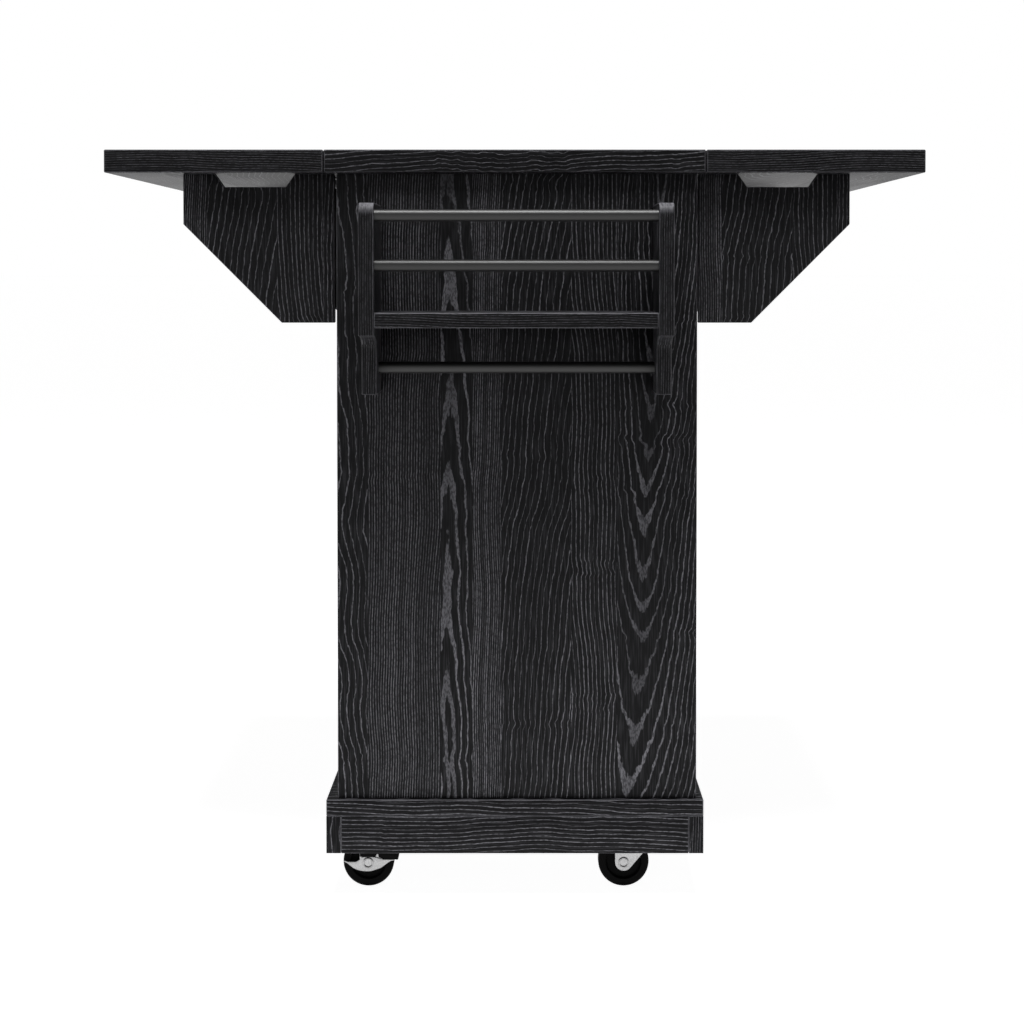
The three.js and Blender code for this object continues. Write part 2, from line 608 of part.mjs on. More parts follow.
/** The brake lever about the axle (Y): two crescent cheeks outside the fork, bridged by the pedal. */
function brakeLever() {
  const pedalEnd = PEDAL_START + PEDAL_LENGTH;
  const pedalTop = PEDAL_LIFT + PEDAL_HEIGHT;
  const humpEnd = LEVER_HUMP_LENGTH / 2;
  const humpSide = (humpEnd + LEVER_HUMP_FOOT) / 2;
  const shape = new THREE.Shape();
  shape.moveTo(-LEVER_TIP, LEVER_TIP_RISE);
  shape.quadraticCurveTo(-LEVER_BEND, -LEVER_DROP, 0, -LEVER_DROP);
  shape.quadraticCurveTo(LEVER_BEND, -LEVER_DROP, PEDAL_START, PEDAL_LIFT);
  shape.lineTo(pedalEnd, PEDAL_LIFT);
  shape.lineTo(pedalEnd, pedalTop);
  shape.lineTo(PEDAL_START, pedalTop);
  shape.lineTo(PEDAL_START, LEVER_ARM_RISE);
  shape.lineTo(LEVER_HUMP_FOOT, LEVER_ARM_RISE);
  shape.quadraticCurveTo(humpSide, LEVER_HUMP_RISE, humpEnd, LEVER_HUMP_RISE);
  shape.lineTo(-humpEnd, LEVER_HUMP_RISE);
  shape.quadraticCurveTo(-humpSide, LEVER_TIP_RISE / 2, -LEVER_HUMP_FOOT, LEVER_TIP_RISE / 2);
  shape.closePath();
  const pedalY = [-LEVER_INNER - LEVER_THICKNESS / 2, LEVER_INNER + LEVER_THICKNESS / 2];
  const pedal = block([PEDAL_START, pedalEnd], pedalY, [PEDAL_LIFT, pedalTop]);
  const hole = rod('y', AXLE_RADIUS + FIT, -LEVER_OUTER - 1, LEVER_OUTER + 1, [0, 0, 0], FINE);
  return carve([
    extrudeAlongY(shape, LEVER_INNER, LEVER_OUTER),
    extrudeAlongY(shape, -LEVER_OUTER, -LEVER_INNER),
    pedal,
  ], [hole]);
}

function addCasters() {
  for (const side of SIDES) {
    for (const end of ENDS) {
      const tag = `${side.name}_${end.name}`;
      const x = side.out * CASTER_X;
      const y = end.topY + end.inward * CASTER_INSET;
      const braked = side.name === 'front';
      piece(`caster_plate_${tag}`, casterPlate(), zinc(), [x, y, 0]);
      piece(`caster_fork_${tag}`, casterFork(braked ? LEVER_OUTER + FIT : ARM_OUTER), zinc(), [x, y, 0]);
      const axle = [x - CASTER_TRAIL, y, WHEEL_Z];
      piece(`caster_wheel_${tag}`, casterWheel(), wheelPlastic(), axle);
      if (braked) piece(`brake_lever_${tag}`, brakeLever(), zinc(), axle);
    }
  }
}

addWorktop();
addLeafHinges();
addBrackets();
addBody();
addDoors();
addPlinth();
addRack();
addCasters();

export default island;
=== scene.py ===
"""Drop leaf kitchen island on casters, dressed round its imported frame.

The boards are black open-grained oak, the bars, hinges and knobs black metal, and the casters bright
zinc with black wheels. Lengths are metres. X runs across the island, Y along it and Z up. The rack end
faces -Y and the doors face -X.
"""

from __future__ import annotations

import logging
import math
import zlib
from dataclasses import dataclass
from enum import Enum
from typing import Iterator, Sequence

import bmesh
import bpy
from mathutils import Matrix, Vector

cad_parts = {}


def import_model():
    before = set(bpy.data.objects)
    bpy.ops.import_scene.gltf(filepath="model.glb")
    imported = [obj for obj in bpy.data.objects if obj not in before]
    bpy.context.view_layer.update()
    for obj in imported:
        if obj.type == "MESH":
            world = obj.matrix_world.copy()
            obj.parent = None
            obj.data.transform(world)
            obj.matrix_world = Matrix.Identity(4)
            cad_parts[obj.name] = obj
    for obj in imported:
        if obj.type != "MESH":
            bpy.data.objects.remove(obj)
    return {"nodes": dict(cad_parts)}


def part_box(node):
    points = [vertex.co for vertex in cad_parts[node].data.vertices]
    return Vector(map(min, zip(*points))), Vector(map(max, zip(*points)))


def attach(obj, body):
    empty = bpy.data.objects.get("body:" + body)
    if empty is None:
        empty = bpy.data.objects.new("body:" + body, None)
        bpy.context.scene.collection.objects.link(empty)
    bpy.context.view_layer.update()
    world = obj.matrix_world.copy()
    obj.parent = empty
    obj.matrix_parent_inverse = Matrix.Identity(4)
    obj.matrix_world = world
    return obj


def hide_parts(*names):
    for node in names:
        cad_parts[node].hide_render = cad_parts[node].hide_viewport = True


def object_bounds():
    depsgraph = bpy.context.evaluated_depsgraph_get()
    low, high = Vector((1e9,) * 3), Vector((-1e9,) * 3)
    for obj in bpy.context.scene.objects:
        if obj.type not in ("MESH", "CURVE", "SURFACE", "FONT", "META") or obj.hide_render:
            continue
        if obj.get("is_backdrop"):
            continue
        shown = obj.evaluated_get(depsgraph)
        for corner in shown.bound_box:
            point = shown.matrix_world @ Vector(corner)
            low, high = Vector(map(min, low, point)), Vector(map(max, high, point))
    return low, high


LOG = logging.getLogger("island")
MM = 0.001
GRAIN_MAP = "grain"
# face attribute of the painted edge highlight: paler rounded edges, stronger where they face up
EDGE_HIGHLIGHT = "painted_edge_highlight"
FACING = "facing"

Colour = tuple[float, float, float, float]
Point = tuple[float, float]
Outline = Sequence[Point]
Socket = bpy.types.NodeSocket
Feed = float | str | Sequence[float] | Socket
Work = bmesh.types.BMesh
Item = bpy.types.Object


class Grain(Enum):
    """The axis that the grain of a board follows."""

    ACROSS = 0
    ALONG = 1
    UPRIGHT = 2


class Slot(Enum):
    """The record's material slots."""

    OAK = "black_oak"
    METAL = "dark_metal"
    ZINC = "zinc"
    WHEEL = "wheel_black"
    PEDAL = "pedal_black"


# ---------------------------------------------------------------- wiring of node trees


class Wiring:
    """Adds nodes to one tree and joins them up."""

    def __init__(self, tree: bpy.types.NodeTree) -> None:
        """Starts on a shader or geometry tree."""
        self.tree = tree

    def add(
        self, kind: str, feeds: dict[str | int, Feed] | None = None, **settings: object
    ) -> bpy.types.Node:
        """Adds a node.

        Args:
            kind: The node's type name.
            feeds: What its inputs take, by their name or number.
            **settings: Properties to set on it.

        Returns:
            The node.
        """
        node = self.tree.nodes.new(kind)
        for name, value in settings.items():
            setattr(node, name, value)
        for name, value in (feeds or {}).items():
            self.feed(node.inputs[name], value)
        return node

    def feed(self, socket: Socket, value: Feed) -> None:
        """Joins an input to another node's output, or sets its own value.

        Args:
            socket: The input.
            value: The other node's output, or the value.
        """
        if isinstance(value, Socket):
            self.tree.links.new(value, socket)
        else:
            socket.default_value = value

    def math(self, operation: str, *values: Feed) -> Socket:
        """Works out one of the Math node's operations on its inputs in order."""
        return self.add("ShaderNodeMath", dict(enumerate(values)), operation=operation).outputs[0]

    def plus(self, first: Feed, second: Feed) -> Socket:
        """Adds two values."""
        return self.math("ADD", first, second)

    def times(self, first: Feed, second: Feed) -> Socket:
        """Multiplies two values."""
        return self.math("MULTIPLY", first, second)

    def line(self, value: Feed, slope: Feed, start: Feed) -> Socket:
        """Follows a straight line: a slope times a value, plus a start."""
        return self.math("MULTIPLY_ADD", value, slope, start)

    def vector(self, x: Feed, y: Feed, z: Feed = 0.0) -> Socket:
        """Makes a vector of three values."""
        return self.add("ShaderNodeCombineXYZ", {"X": x, "Y": y, "Z": z}).outputs[0]

    def split(self, vector: Feed) -> list[Socket]:
        """Gives a vector's three values."""
        return list(self.add("ShaderNodeSeparateXYZ", {"Vector": vector}).outputs)

    def noise(self, place: Feed, scale: float = 1.0, detail: float = 2.0) -> Socket:
        """Gives smooth noise between 0 and 1 at a place, with as many finer layers as `detail`."""
        return self.add("ShaderNodeTexNoise", {"Vector": place, "Scale": scale, "Detail": detail}).outputs[0]

    def swing(self, value: Feed, reach: Feed) -> Socket:
        """Turns noise from 0 to 1 into a value that swings by half of `reach` either way."""
        return self.times(self.math("SUBTRACT", value, 0.5), reach)

    def ease(self, value: Feed, span: tuple[Feed, Feed], to: Point = (0.0, 1.0)) -> Socket:
        """Maps a value smoothly from one range to another.

        Args:
            value: The value.
            span: Where its range starts and ends.
            to: What the two ends become.

        Returns:
            The mapped value.
        """
        feeds = dict(zip(("Value", "From Min", "From Max", "To Min", "To Max"), (value, *span, *to)))
        return self.add("ShaderNodeMapRange", feeds, interpolation_type="SMOOTHSTEP").outputs[0]

    def mix(self, share: Feed, first: Feed, second: Feed) -> Socket:
        """Mixes two colours."""
        return self.add("ShaderNodeMix", {0: share, 6: first, 7: second}, data_type="RGBA").outputs[2]


def grey(level: float, blue: float = 1.0) -> Colour:
    """A grey with a touch of blue, as a colour with alpha."""
    return (level, level, level * blue, 1.0)


def new_material(name: str) -> tuple[bpy.types.Material, Wiring, bpy.types.Node]:
    """Makes a material with a Principled shader.

    Args:
        name: The material's name.

    Returns:
        The material, its wiring and the shader node.
    """
    material = bpy.data.materials.new(name)
    material.use_nodes = True
    return material, Wiring(material.node_tree), material.node_tree.nodes["Principled BSDF"]


def add_bump(wiring: Wiring, shader: bpy.types.Node, height: Feed, distance: float) -> None:
    """Raises a surface by a height between 0 and 1 times a distance."""
    bump = wiring.add("ShaderNodeBump", {"Height": height, "Distance": distance})
    wiring.feed(shader.inputs["Normal"], bump.outputs[0])


# ---------------------------------------------------------------- finishes


@dataclass(frozen=True)
class Strip:
    """One strip of the veneer sheet, as if sawn lengthwise from its own log."""

    start: float  # left edge across the sheet
    heart: float  # the log's heart, across the sheet at its foot
    sway: float  # how far the heart drifts across for each metre along
    depth: float  # the heart behind the face at the sheet's foot
    rise: float  # how much deeper it lies for each metre along
    lean: float  # how far the rings drift across for each metre along
    wander: float  # how far they wander
    ring: float  # spacing of the growth rings
    pale: float  # share of a ring that is pale
    flare: float  # that share where the face runs along the rings
    ragged: float  # how uneven the rings are


VENEER_WIDTH = 0.50
VENEER = (
    Strip(0.000, -0.020, 0.0, 0.020, 0.04, 0.02, 0.034, 0.0066, 0.12, 0.26, 1.0),
    Strip(0.036, 0.420, 0.0, 0.010, 0.0, 0.02, 0.010, 0.0032, 0.21, 0.21, 0.2),
    Strip(0.126, 0.137, 0.0, 0.004, 0.05, 0.0, 0.012, 0.0070, 0.17, 0.46, 1.1),
    Strip(0.165, 0.600, 0.0, 0.010, 0.0, 0.02, 0.008, 0.0027, 0.29, 0.29, 0.15),
    Strip(0.200, 0.430, 0.0, 0.060, 0.10, 0.05, 0.014, 0.0064, 0.11, 0.18, 0.8),
    Strip(0.287, 0.120, 0.0, 0.050, 0.05, 0.01, 0.014, 0.0050, 0.14, 0.26, 0.5),
    Strip(0.343, 0.352, 0.052, 0.095, -0.095, 0.0, 0.008, 0.0047, 0.15, 0.36, 0.8),
    Strip(0.450, 0.900, 0.0, 0.010, 0.0, 0.01, 0.006, 0.0029, 0.10, 0.10, 0.15),
)


@dataclass(frozen=True)
class BlackOak:
    """Black-stained oak veneer whose open early wood stays paler. It reads the board's grain map."""

    ground: Colour = (0.0060, 0.0060, 0.0066, 1.0)
    open_grain: Colour = (0.190, 0.188, 0.206, 1.0)
    roughness: Point = (0.35, 0.49)
    gloss: float = 0.07
    pore_depth: float = 0.15 * MM
    turn_length: float = 0.9  # the pattern runs up and down again over this length
    point: float = 0.008  # how pointed the tips of the pattern are
    heart_width: float = 0.014  # how far the flat-cut wood reaches to each side of a heart
    heart_fade: float = 0.35  # how much duller its broad pale wood is

    # how fast each unevenness varies across and along the grain, per metre
    bend_rate: Point = (4.0, 3.5)
    kink_rate: Point = (22.0, 40.0)
    comb_rate: Point = (420.0, 40.0)
    ripple_rate: Point = (60.0, 70.0)
    fine_rate: Point = (640.0, 230.0)
    stray_rate: Point = (620.0, 30.0)
    drift_rate: float = 7.0  # this one and the next vary along only
    pinch_rate: float = 26.0

    # what shifts one noise, strip or sheet against another
    strip_seed: float = 37.0
    sheet_seed: float = 5.3
    drift_seed: float = 1.7
    pinch_seed: float = 4.1
    fine_seed: float = 0.3
    stray_seed: float = 0.8

    # how far the rings stray from even ones
    bend_reach: float = 0.022
    kink_reach: Point = (0.005, 0.030)  # everywhere, and where they pinch
    jitter_reach: float = 0.0020
    year_width: Point = (0.6, 0.7)  # slope and start of the pale wood's width over the years' noise
    year_strength: Point = (0.5, 0.5)  # and of how pale it is
    soft_start: float = 0.05  # how softly the pale wood sets in and ends, as shares of a ring
    soft_end: float = 0.07

    # the levels of noise between which each thing shows, and how far it shows
    pinch_span: Point = (0.66, 0.76)
    pore_span: Point = (0.36, 0.60)
    pore_share: Point = (0.35, 1.0)
    stray_span: Point = (0.44, 0.74)
    stray_share: Point = (0.0, 0.10)
    # noise levels that break the painted edge highlight into streaks
    long_streak_span: Point = (0.36, 0.62)
    long_streak_share: Point = (0.4, 1.0)
    short_streak_span: Point = (0.3, 0.6)
    short_streak_share: Point = (0.65, 1.0)

    def material(self) -> bpy.types.Material:
        """Makes the material.

        Returns:
            The material.
        """
        material, wiring, shader = new_material("black_oak")
        across, along, _ = wiring.split(wiring.add("ShaderNodeUVMap", uv_map=GRAIN_MAP).outputs[0])
        place = wiring.math("WRAP", across, VENEER_WIDTH, 0.0)
        sheet = wiring.math("FLOOR", wiring.math("DIVIDE", across, VENEER_WIDTH))
        pale, tone = self.rings(wiring, place, along, sheet)
        shown = self.pores(wiring, across, along, pale)
        wiring.feed(shader.inputs["Base Color"], wiring.mix(shown, self.ground, self.open_grain))
        wiring.feed(shader.inputs["Roughness"], wiring.ease(tone, (0.0, 1.0), self.roughness))
        shader.inputs["Specular IOR Level"].default_value = self.gloss
        add_bump(wiring, shader, wiring.math("SUBTRACT", 1.0, shown), self.pore_depth)
        return material

    def strip_value(self, wiring: Wiring, place: Feed, field: str) -> Socket:
        """Looks up one value of the strip at a place across the sheet.

        Args:
            wiring: The material's wiring.
            place: The place across the sheet, in metres.
            field: The name of the strip's value.

        Returns:
            The value's socket.
        """
        values = [getattr(strip, field) for strip in VENEER]
        low, high = min(values), max(values)
        ramp = wiring.add("ShaderNodeValToRGB", {0: wiring.math("DIVIDE", place, VENEER_WIDTH)})
        stops = ramp.color_ramp
        stops.interpolation = "CONSTANT"
        while len(stops.elements) < len(VENEER):
            stops.elements.new(1.0)
        for stop, strip, value in zip(stops.elements, VENEER, values):
            stop.position = strip.start / VENEER_WIDTH
            stop.color = grey((value - low) / (high - low))
        return wiring.line(ramp.outputs[0], high - low, low)

    def drawn_out(self, wiring: Wiring, place: Feed, along: Feed, rate: Point, seed: Feed) -> Socket:
        """Noise drawn out along the grain.

        Args:
            wiring: The material's wiring.
            place: The place across the grain.
            along: The place along it.
            rate: How fast it varies across and along, per metre.
            seed: Shifts the noise.

        Returns:
            The noise's value.
        """
        across = wiring.times(place, rate[0])
        return wiring.noise(wiring.vector(across, wiring.times(along, rate[1]), seed))

    def rings(self, wiring: Wiring, place: Feed, along: Feed, sheet: Feed) -> tuple[Socket, Socket]:
        """Cuts the tapering growth rings of each strip's log with the strip's face.

        Args:
            wiring: The material's wiring.
            place: The place across the sheet.
            along: The place along the grain.
            sheet: The number of the sheet, which shifts the pattern.

        Returns:
            How pale the surface is, and a slow tone.
        """
        def of(field: str) -> Socket:
            """One value of the strip at this place."""
            return self.strip_value(wiring, place, field)

        seed = wiring.line(of("start"), self.strip_seed, wiring.times(sheet, self.sheet_seed))
        bend, kink, comb, ripple = (
            self.drawn_out(wiring, place, along, rate, seed)
            for rate in (self.bend_rate, self.kink_rate, self.comb_rate, self.ripple_rate)
        )
        drift_place = wiring.vector(seed, wiring.times(along, self.drift_rate), self.drift_seed)
        pinch_place = wiring.vector(seed, wiring.times(along, self.pinch_rate), self.pinch_seed)
        drift, pinch = wiring.noise(drift_place, detail=1.0), wiring.noise(pinch_place, detail=0.0)
        height = wiring.math("PINGPONG", along, self.turn_length)
        heart = wiring.line(height, of("sway"), of("heart"))
        side = wiring.plus(wiring.math("SUBTRACT", place, heart), wiring.swing(bend, self.bend_reach))
        ragged = of("ragged")
        jog = wiring.times(ragged, wiring.ease(pinch, self.pinch_span, self.kink_reach))
        reach = wiring.math("ABSOLUTE", wiring.plus(side, wiring.swing(kink, jog)))
        depth = wiring.line(height, of("rise"), of("depth"))
        squares = wiring.line(reach, wiring.plus(reach, self.point), wiring.math("POWER", depth, 2.0))
        distance = wiring.line(height, of("lean"), wiring.math("SQRT", squares))
        distance = wiring.plus(distance, wiring.swing(drift, of("wander")))
        jitter = wiring.times(ragged, self.jitter_reach)
        for tremble in (comb, ripple):
            distance = wiring.plus(distance, wiring.swing(tremble, jitter))
        turns = wiring.math("DIVIDE", distance, of("ring"))
        year_seed = wiring.plus(wiring.math("FLOOR", turns), seed)
        year = wiring.add("ShaderNodeTexWhiteNoise", {"W": year_seed}, noise_dimensions="1D").outputs[0]
        flat = wiring.ease(reach, (self.heart_width, 0.0))
        pale = of("pale")
        width = wiring.line(flat, wiring.math("SUBTRACT", of("flare"), pale), pale)
        width = wiring.times(width, wiring.line(year, *self.year_width))
        phase = wiring.math("FRACT", turns)
        start = wiring.ease(phase, (0.0, self.soft_start))
        stop = wiring.ease(phase, (width, wiring.plus(width, self.soft_end)), (1.0, 0.0))
        strength = wiring.line(year, *self.year_strength)
        strength = wiring.times(strength, wiring.line(flat, -self.heart_fade, 1.0))
        return wiring.times(wiring.times(start, stop), strength), bend

    def pores(self, wiring: Wiring, across: Feed, along: Feed, pale: Feed) -> Socket:
        """Breaks the pale wood into short pores along the grain, scatters a few over the dark wood, and adds
        the painted edge highlight.

        Args:
            wiring: The material's wiring.
            across: The place across the grain.
            along: The place along it.
            pale: How pale the wood is.

        Returns:
            How pale the surface is in the end, painted edge highlights included.
        """
        fine = self.drawn_out(wiring, across, along, self.fine_rate, self.fine_seed)
        stray = self.drawn_out(wiring, across, along, self.stray_rate, self.stray_seed)
        open_share = wiring.ease(fine, self.pore_span, self.pore_share)
        scattered = wiring.ease(stray, self.stray_span, self.stray_share)
        shown = wiring.math("MAXIMUM", wiring.times(pale, open_share), scattered)
        # painted highlight on the rounded edges, broken into streaks by the pore noise
        highlit = wiring.add("ShaderNodeAttribute", attribute_name=EDGE_HIGHLIGHT).outputs["Fac"]
        streaks = wiring.times(
            wiring.ease(stray, self.long_streak_span, self.long_streak_share),
            wiring.ease(fine, self.short_streak_span, self.short_streak_share),
        )
        return wiring.math("MAXIMUM", shown, wiring.times(highlit, streaks))


@dataclass(frozen=True)
class Coat:
    """A plain hard finish, such as paint, plated metal or moulded plastic, with fine mottling."""

    name: str
    colour: Colour
    worn: Colour
    metallic: float
    roughness: Point
    texture: float  # size of the mottling
    depth: float  # height of the surface's unevenness
    gloss: float = 0.5
    worn_span: Point = (0.3, 0.7)  # the levels of noise between which the worn colour comes in
    rough_span: Point = (0.25, 0.75)  # and the roughness changes

    def material(self) -> bpy.types.Material:
        """Makes the material.

        Returns:
            The material.
        """
        material, wiring, shader = new_material(self.name)
        place = wiring.add("ShaderNodeTexCoord").outputs["Object"]
        fine = wiring.noise(place, 1.0 / self.texture)
        worn = wiring.ease(fine, self.worn_span)
        wiring.feed(shader.inputs["Base Color"], wiring.mix(worn, self.colour, self.worn))
        wiring.feed(shader.inputs["Roughness"], wiring.ease(fine, self.rough_span, self.roughness))
        shader.inputs["Metallic"].default_value = self.metallic
        shader.inputs["Specular IOR Level"].default_value = self.gloss
        add_bump(wiring, shader, fine, self.depth)
        return material


PLASTIC = (grey(0.0015), grey(0.0030), 0.0)  # colour, worn colour and metallic
COATS = {
    Slot.METAL: Coat("dark_metal", grey(0.003), grey(0.005), 0.0, (0.41, 0.45), 0.6 * MM, 0.001 * MM, 0.55),
    Slot.ZINC: Coat("zinc", grey(0.36, 1.01), grey(0.52), 1.0, (0.30, 0.42), 1.1 * MM, 0.012 * MM),
    Slot.WHEEL: Coat("wheel_black", *PLASTIC, (0.39, 0.51), 0.5 * MM, 0.02 * MM, 0.03),
    Slot.PEDAL: Coat("pedal_black", *PLASTIC, (0.45, 0.55), 0.4 * MM, 0.03 * MM, 0.04),
}


# ---------------------------------------------------------------- shaping

SHARP_ANGLE = 0.6  # radians between two faces from which their edge is rounded
UNDERSIDE = -0.3  # a rounding whose normal has a lower Z faces down
UNDER_HIGHLIGHT = 0.4  # share of the painted highlight on roundings that face down
# strength of the painted highlight on a board's rounded edges
BOARD_HIGHLIGHT = 0.75


def finish_mesh(bm: Work, name: str, smooth_under: float = 35.0) -> Item:
    """Turns mesh work into an object at the origin.

    Args:
        bm: The mesh work, which is freed.
        name: The object's name.
        smooth_under: Edges flatter than this angle in degrees are shaded smooth.

    Returns:
        The object.
    """
    bmesh.ops.recalc_face_normals(bm, faces=bm.faces[:])
    mesh = bpy.data.meshes.new(name)
    bm.to_mesh(mesh)
    bm.free()
    if smooth_under:
        smooth(mesh, smooth_under)
    return place_mesh(name, mesh)


def smooth(mesh: bpy.types.Mesh, under: float) -> None:
    """Shades the edges of a mesh that are flatter than an angle in degrees smooth."""
    mesh.shade_smooth()
    mesh.set_sharp_from_angle(angle=math.radians(under))


def place_mesh(name: str, mesh: bpy.types.Mesh) -> Item:
    """Puts a mesh into the scene as an object at the origin.

    Args:
        name: The object's name.
        mesh: The mesh.

    Returns:
        The object.
    """
    item = bpy.data.objects.new(name, mesh)
    bpy.context.scene.collection.objects.link(item)
    return item


def round_edges(
    bm: Work, size: float, segments: int = 2, longer_than: float = 0.0, highlight: float = BOARD_HIGHLIGHT
) -> None:
    """Rounds the sharp edges of mesh work, and marks the new faces with a painted highlight, weaker where
    they face down.

    Args:
        bm: The mesh work.
        size: Width of the rounding.
        segments: Faces across it.
        longer_than: Shorter edges stay sharp.
        highlight: How strong the painted highlight on the rounding is, 0 to 1.
    """
    highlit = bm.faces.layers.float.get(EDGE_HIGHLIGHT) or bm.faces.layers.float.new(EDGE_HIGHLIGHT)
    bm.normal_update()
    sharp = [
        edge
        for edge in bm.edges
        if len(edge.link_faces) == 2
        and edge.calc_face_angle() > SHARP_ANGLE
        and edge.calc_length() > longer_than
    ]
    made = bmesh.ops.bevel(
        bm, geom=sharp, offset=size, segments=segments, profile=0.5, affect="EDGES", clamp_overlap=True
    )
    bm.normal_update()
    # painted highlight on the new faces, weaker where they face down
    for face in made["faces"]:
        face[highlit] = highlight if face.normal.z > UNDERSIDE else highlight * UNDER_HIGHLIGHT


def block(low: Vector, high: Vector) -> Work:
    """Mesh work of a box.

    Args:
        low: Its lowest corner.
        high: Its highest corner.

    Returns:
        The mesh work.
    """
    bm = bmesh.new()
    bmesh.ops.create_cube(bm, size=1.0)
    for vert in bm.verts:
        vert.co = Vector(low[i] if vert.co[i] < 0 else high[i] for i in range(3))
    return bm


def prism(outline: Outline, axis: int, start: float, end: float) -> Work:
    """Mesh work of an outline pushed along an axis.

    Args:
        outline: The outline's points in the other two axes, in the order of the axes.
        axis: The axis, 0 to 2.
        start: Where it starts along the axis.
        end: Where it ends.

    Returns:
        The mesh work.
    """
    bm = bmesh.new()

    def place(point: Point, level: float) -> Vector:
        """A point of the outline at a level along the axis."""
        values = list(point)
        values.insert(axis, level)
        return Vector(values)

    rings = [[bm.verts.new(place(point, level)) for point in outline] for level in (start, end)]
    count = len(outline)
    for i in range(count):
        bm.faces.new((rings[0][i], rings[0][(i + 1) % count], rings[1][(i + 1) % count], rings[1][i]))
    bm.faces.new(rings[0])
    bm.faces.new(rings[1])
    bmesh.ops.recalc_face_normals(bm, faces=bm.faces[:])
    return bm


def lathe(bm: Work, profile: Outline, steps: int, place: Matrix) -> None:
    """Turns a profile about an axis into mesh work.

    Args:
        bm: The mesh work that gets it.
        profile: Radius and height of each point; a radius of 0 closes the shape.
        steps: Faces round the axis.
        place: Puts the axis, Z, where it belongs.
    """
    ways = [(math.cos(2 * math.pi * k / steps), math.sin(2 * math.pi * k / steps)) for k in range(steps)]
    rings = []
    for radius, height in profile:
        points = [(radius * x, radius * y, height) for x, y in ways] if radius else [(0, 0, height)]
        rings.append([bm.verts.new(place @ Vector(point)) for point in points])
    closed = profile[0][0] != 0
    for lower, upper in zip(rings, rings[1:] + (rings[:1] if closed else [])):
        for k in range(steps):
            around = [
                lower[k % len(lower)], lower[(k + 1) % len(lower)],
                upper[(k + 1) % len(upper)], upper[k % len(upper)],
            ]
            bm.faces.new(list(dict.fromkeys(around)))


def quarter_turn(place: Vector, axis: str, way: int = 1) -> Matrix:
    """Puts a lathe's axis at a place, turned by a quarter about X or Y."""
    return Matrix.Translation(place) @ Matrix.Rotation(-way * math.pi / 2, 4, axis)


def add_work(bm: Work, extra: Work) -> None:
    """Adds other mesh work to mesh work.

    Args:
        bm: The mesh work that grows.
        extra: The other mesh work, which is freed.
    """
    spare = bpy.data.meshes.new("spare")
    extra.to_mesh(spare)
    extra.free()
    bm.from_mesh(spare)
    bpy.data.meshes.remove(spare)


def arc(centre: Point, radius: Point, start: float, end: float, steps: int) -> list[Point]:
    """Points along part of an ellipse, angles in degrees."""
    angles = [math.radians(start + (end - start) * k / steps) for k in range(steps + 1)]
    return [(centre[0] + radius[0] * math.cos(a), centre[1] + radius[1] * math.sin(a)) for a in angles]


def curve(start: Point, bend: Point, end: Point, steps: int = 8) -> list[Point]:
    """Points of a curve that leaves `start` towards `bend` and arrives from it at `end`."""
    blends = [((1 - t) ** 2, 2 * t * (1 - t), t * t) for t in (k / steps for k in range(steps + 1))]
    return [tuple(a * start[i] + b * bend[i] + c * end[i] for i in (0, 1)) for a, b, c in blends]


def middle(node: str) -> Vector:
    """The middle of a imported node."""
    low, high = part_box(node)
    return (low + high) / 2


def node_copy(node: Item) -> Work:
    """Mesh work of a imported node's own shape, with its triangles merged to flat faces.

    Args:
        node: The node.

    Returns:
        The mesh work.
    """
    bm = bmesh.new()
    bm.from_mesh(node.data)
    bmesh.ops.remove_doubles(bm, verts=bm.verts[:], dist=0.01 * MM)
    bmesh.ops.dissolve_limit(bm, angle_limit=0.01, verts=bm.verts[:], edges=bm.edges[:])
    return bm


def lay_grain(item: Item, grain: Grain, origin: Point) -> None:
    """Maps the veneer to a board: on its faces along the grain, and on its ends along their longer side.

    Args:
        item: The board.
        grain: The axis of its grain.
        origin: The place of the sheet's corner, across and along the grain.
    """
    mesh = item.data
    layer = mesh.uv_layers.new(name=GRAIN_MAP)
    size = item.dimensions
    for face in mesh.polygons:
        out = max(range(3), key=lambda i: abs(face.normal[i]))
        others = [i for i in range(3) if i != out]
        along = grain.value if grain.value in others else max(others, key=lambda i: size[i])
        across = next(i for i in others if i != along)
        for loop in face.loop_indices:
            place = mesh.vertices[mesh.loops[loop].vertex_index].co
            layer.data[loop].uv = (place[across] - origin[0], place[along] - origin[1])


def sheet_corner(name: str, across: int = 449, along: int = 1999) -> Point:
    """A board's own place on the veneer, in whole millimetres up to two primes, the same in every run."""
    code = zlib.crc32(name.encode())
    return (code % across) * MM, (code // across % along) * MM


def edge_corner(name: str, level: float, place: float) -> Point:
    """The sheet corner that puts a chosen place across the veneer at a board's level."""
    return level - place, sheet_corner(name)[1]


# ---------------------------------------------------------------- geometry nodes


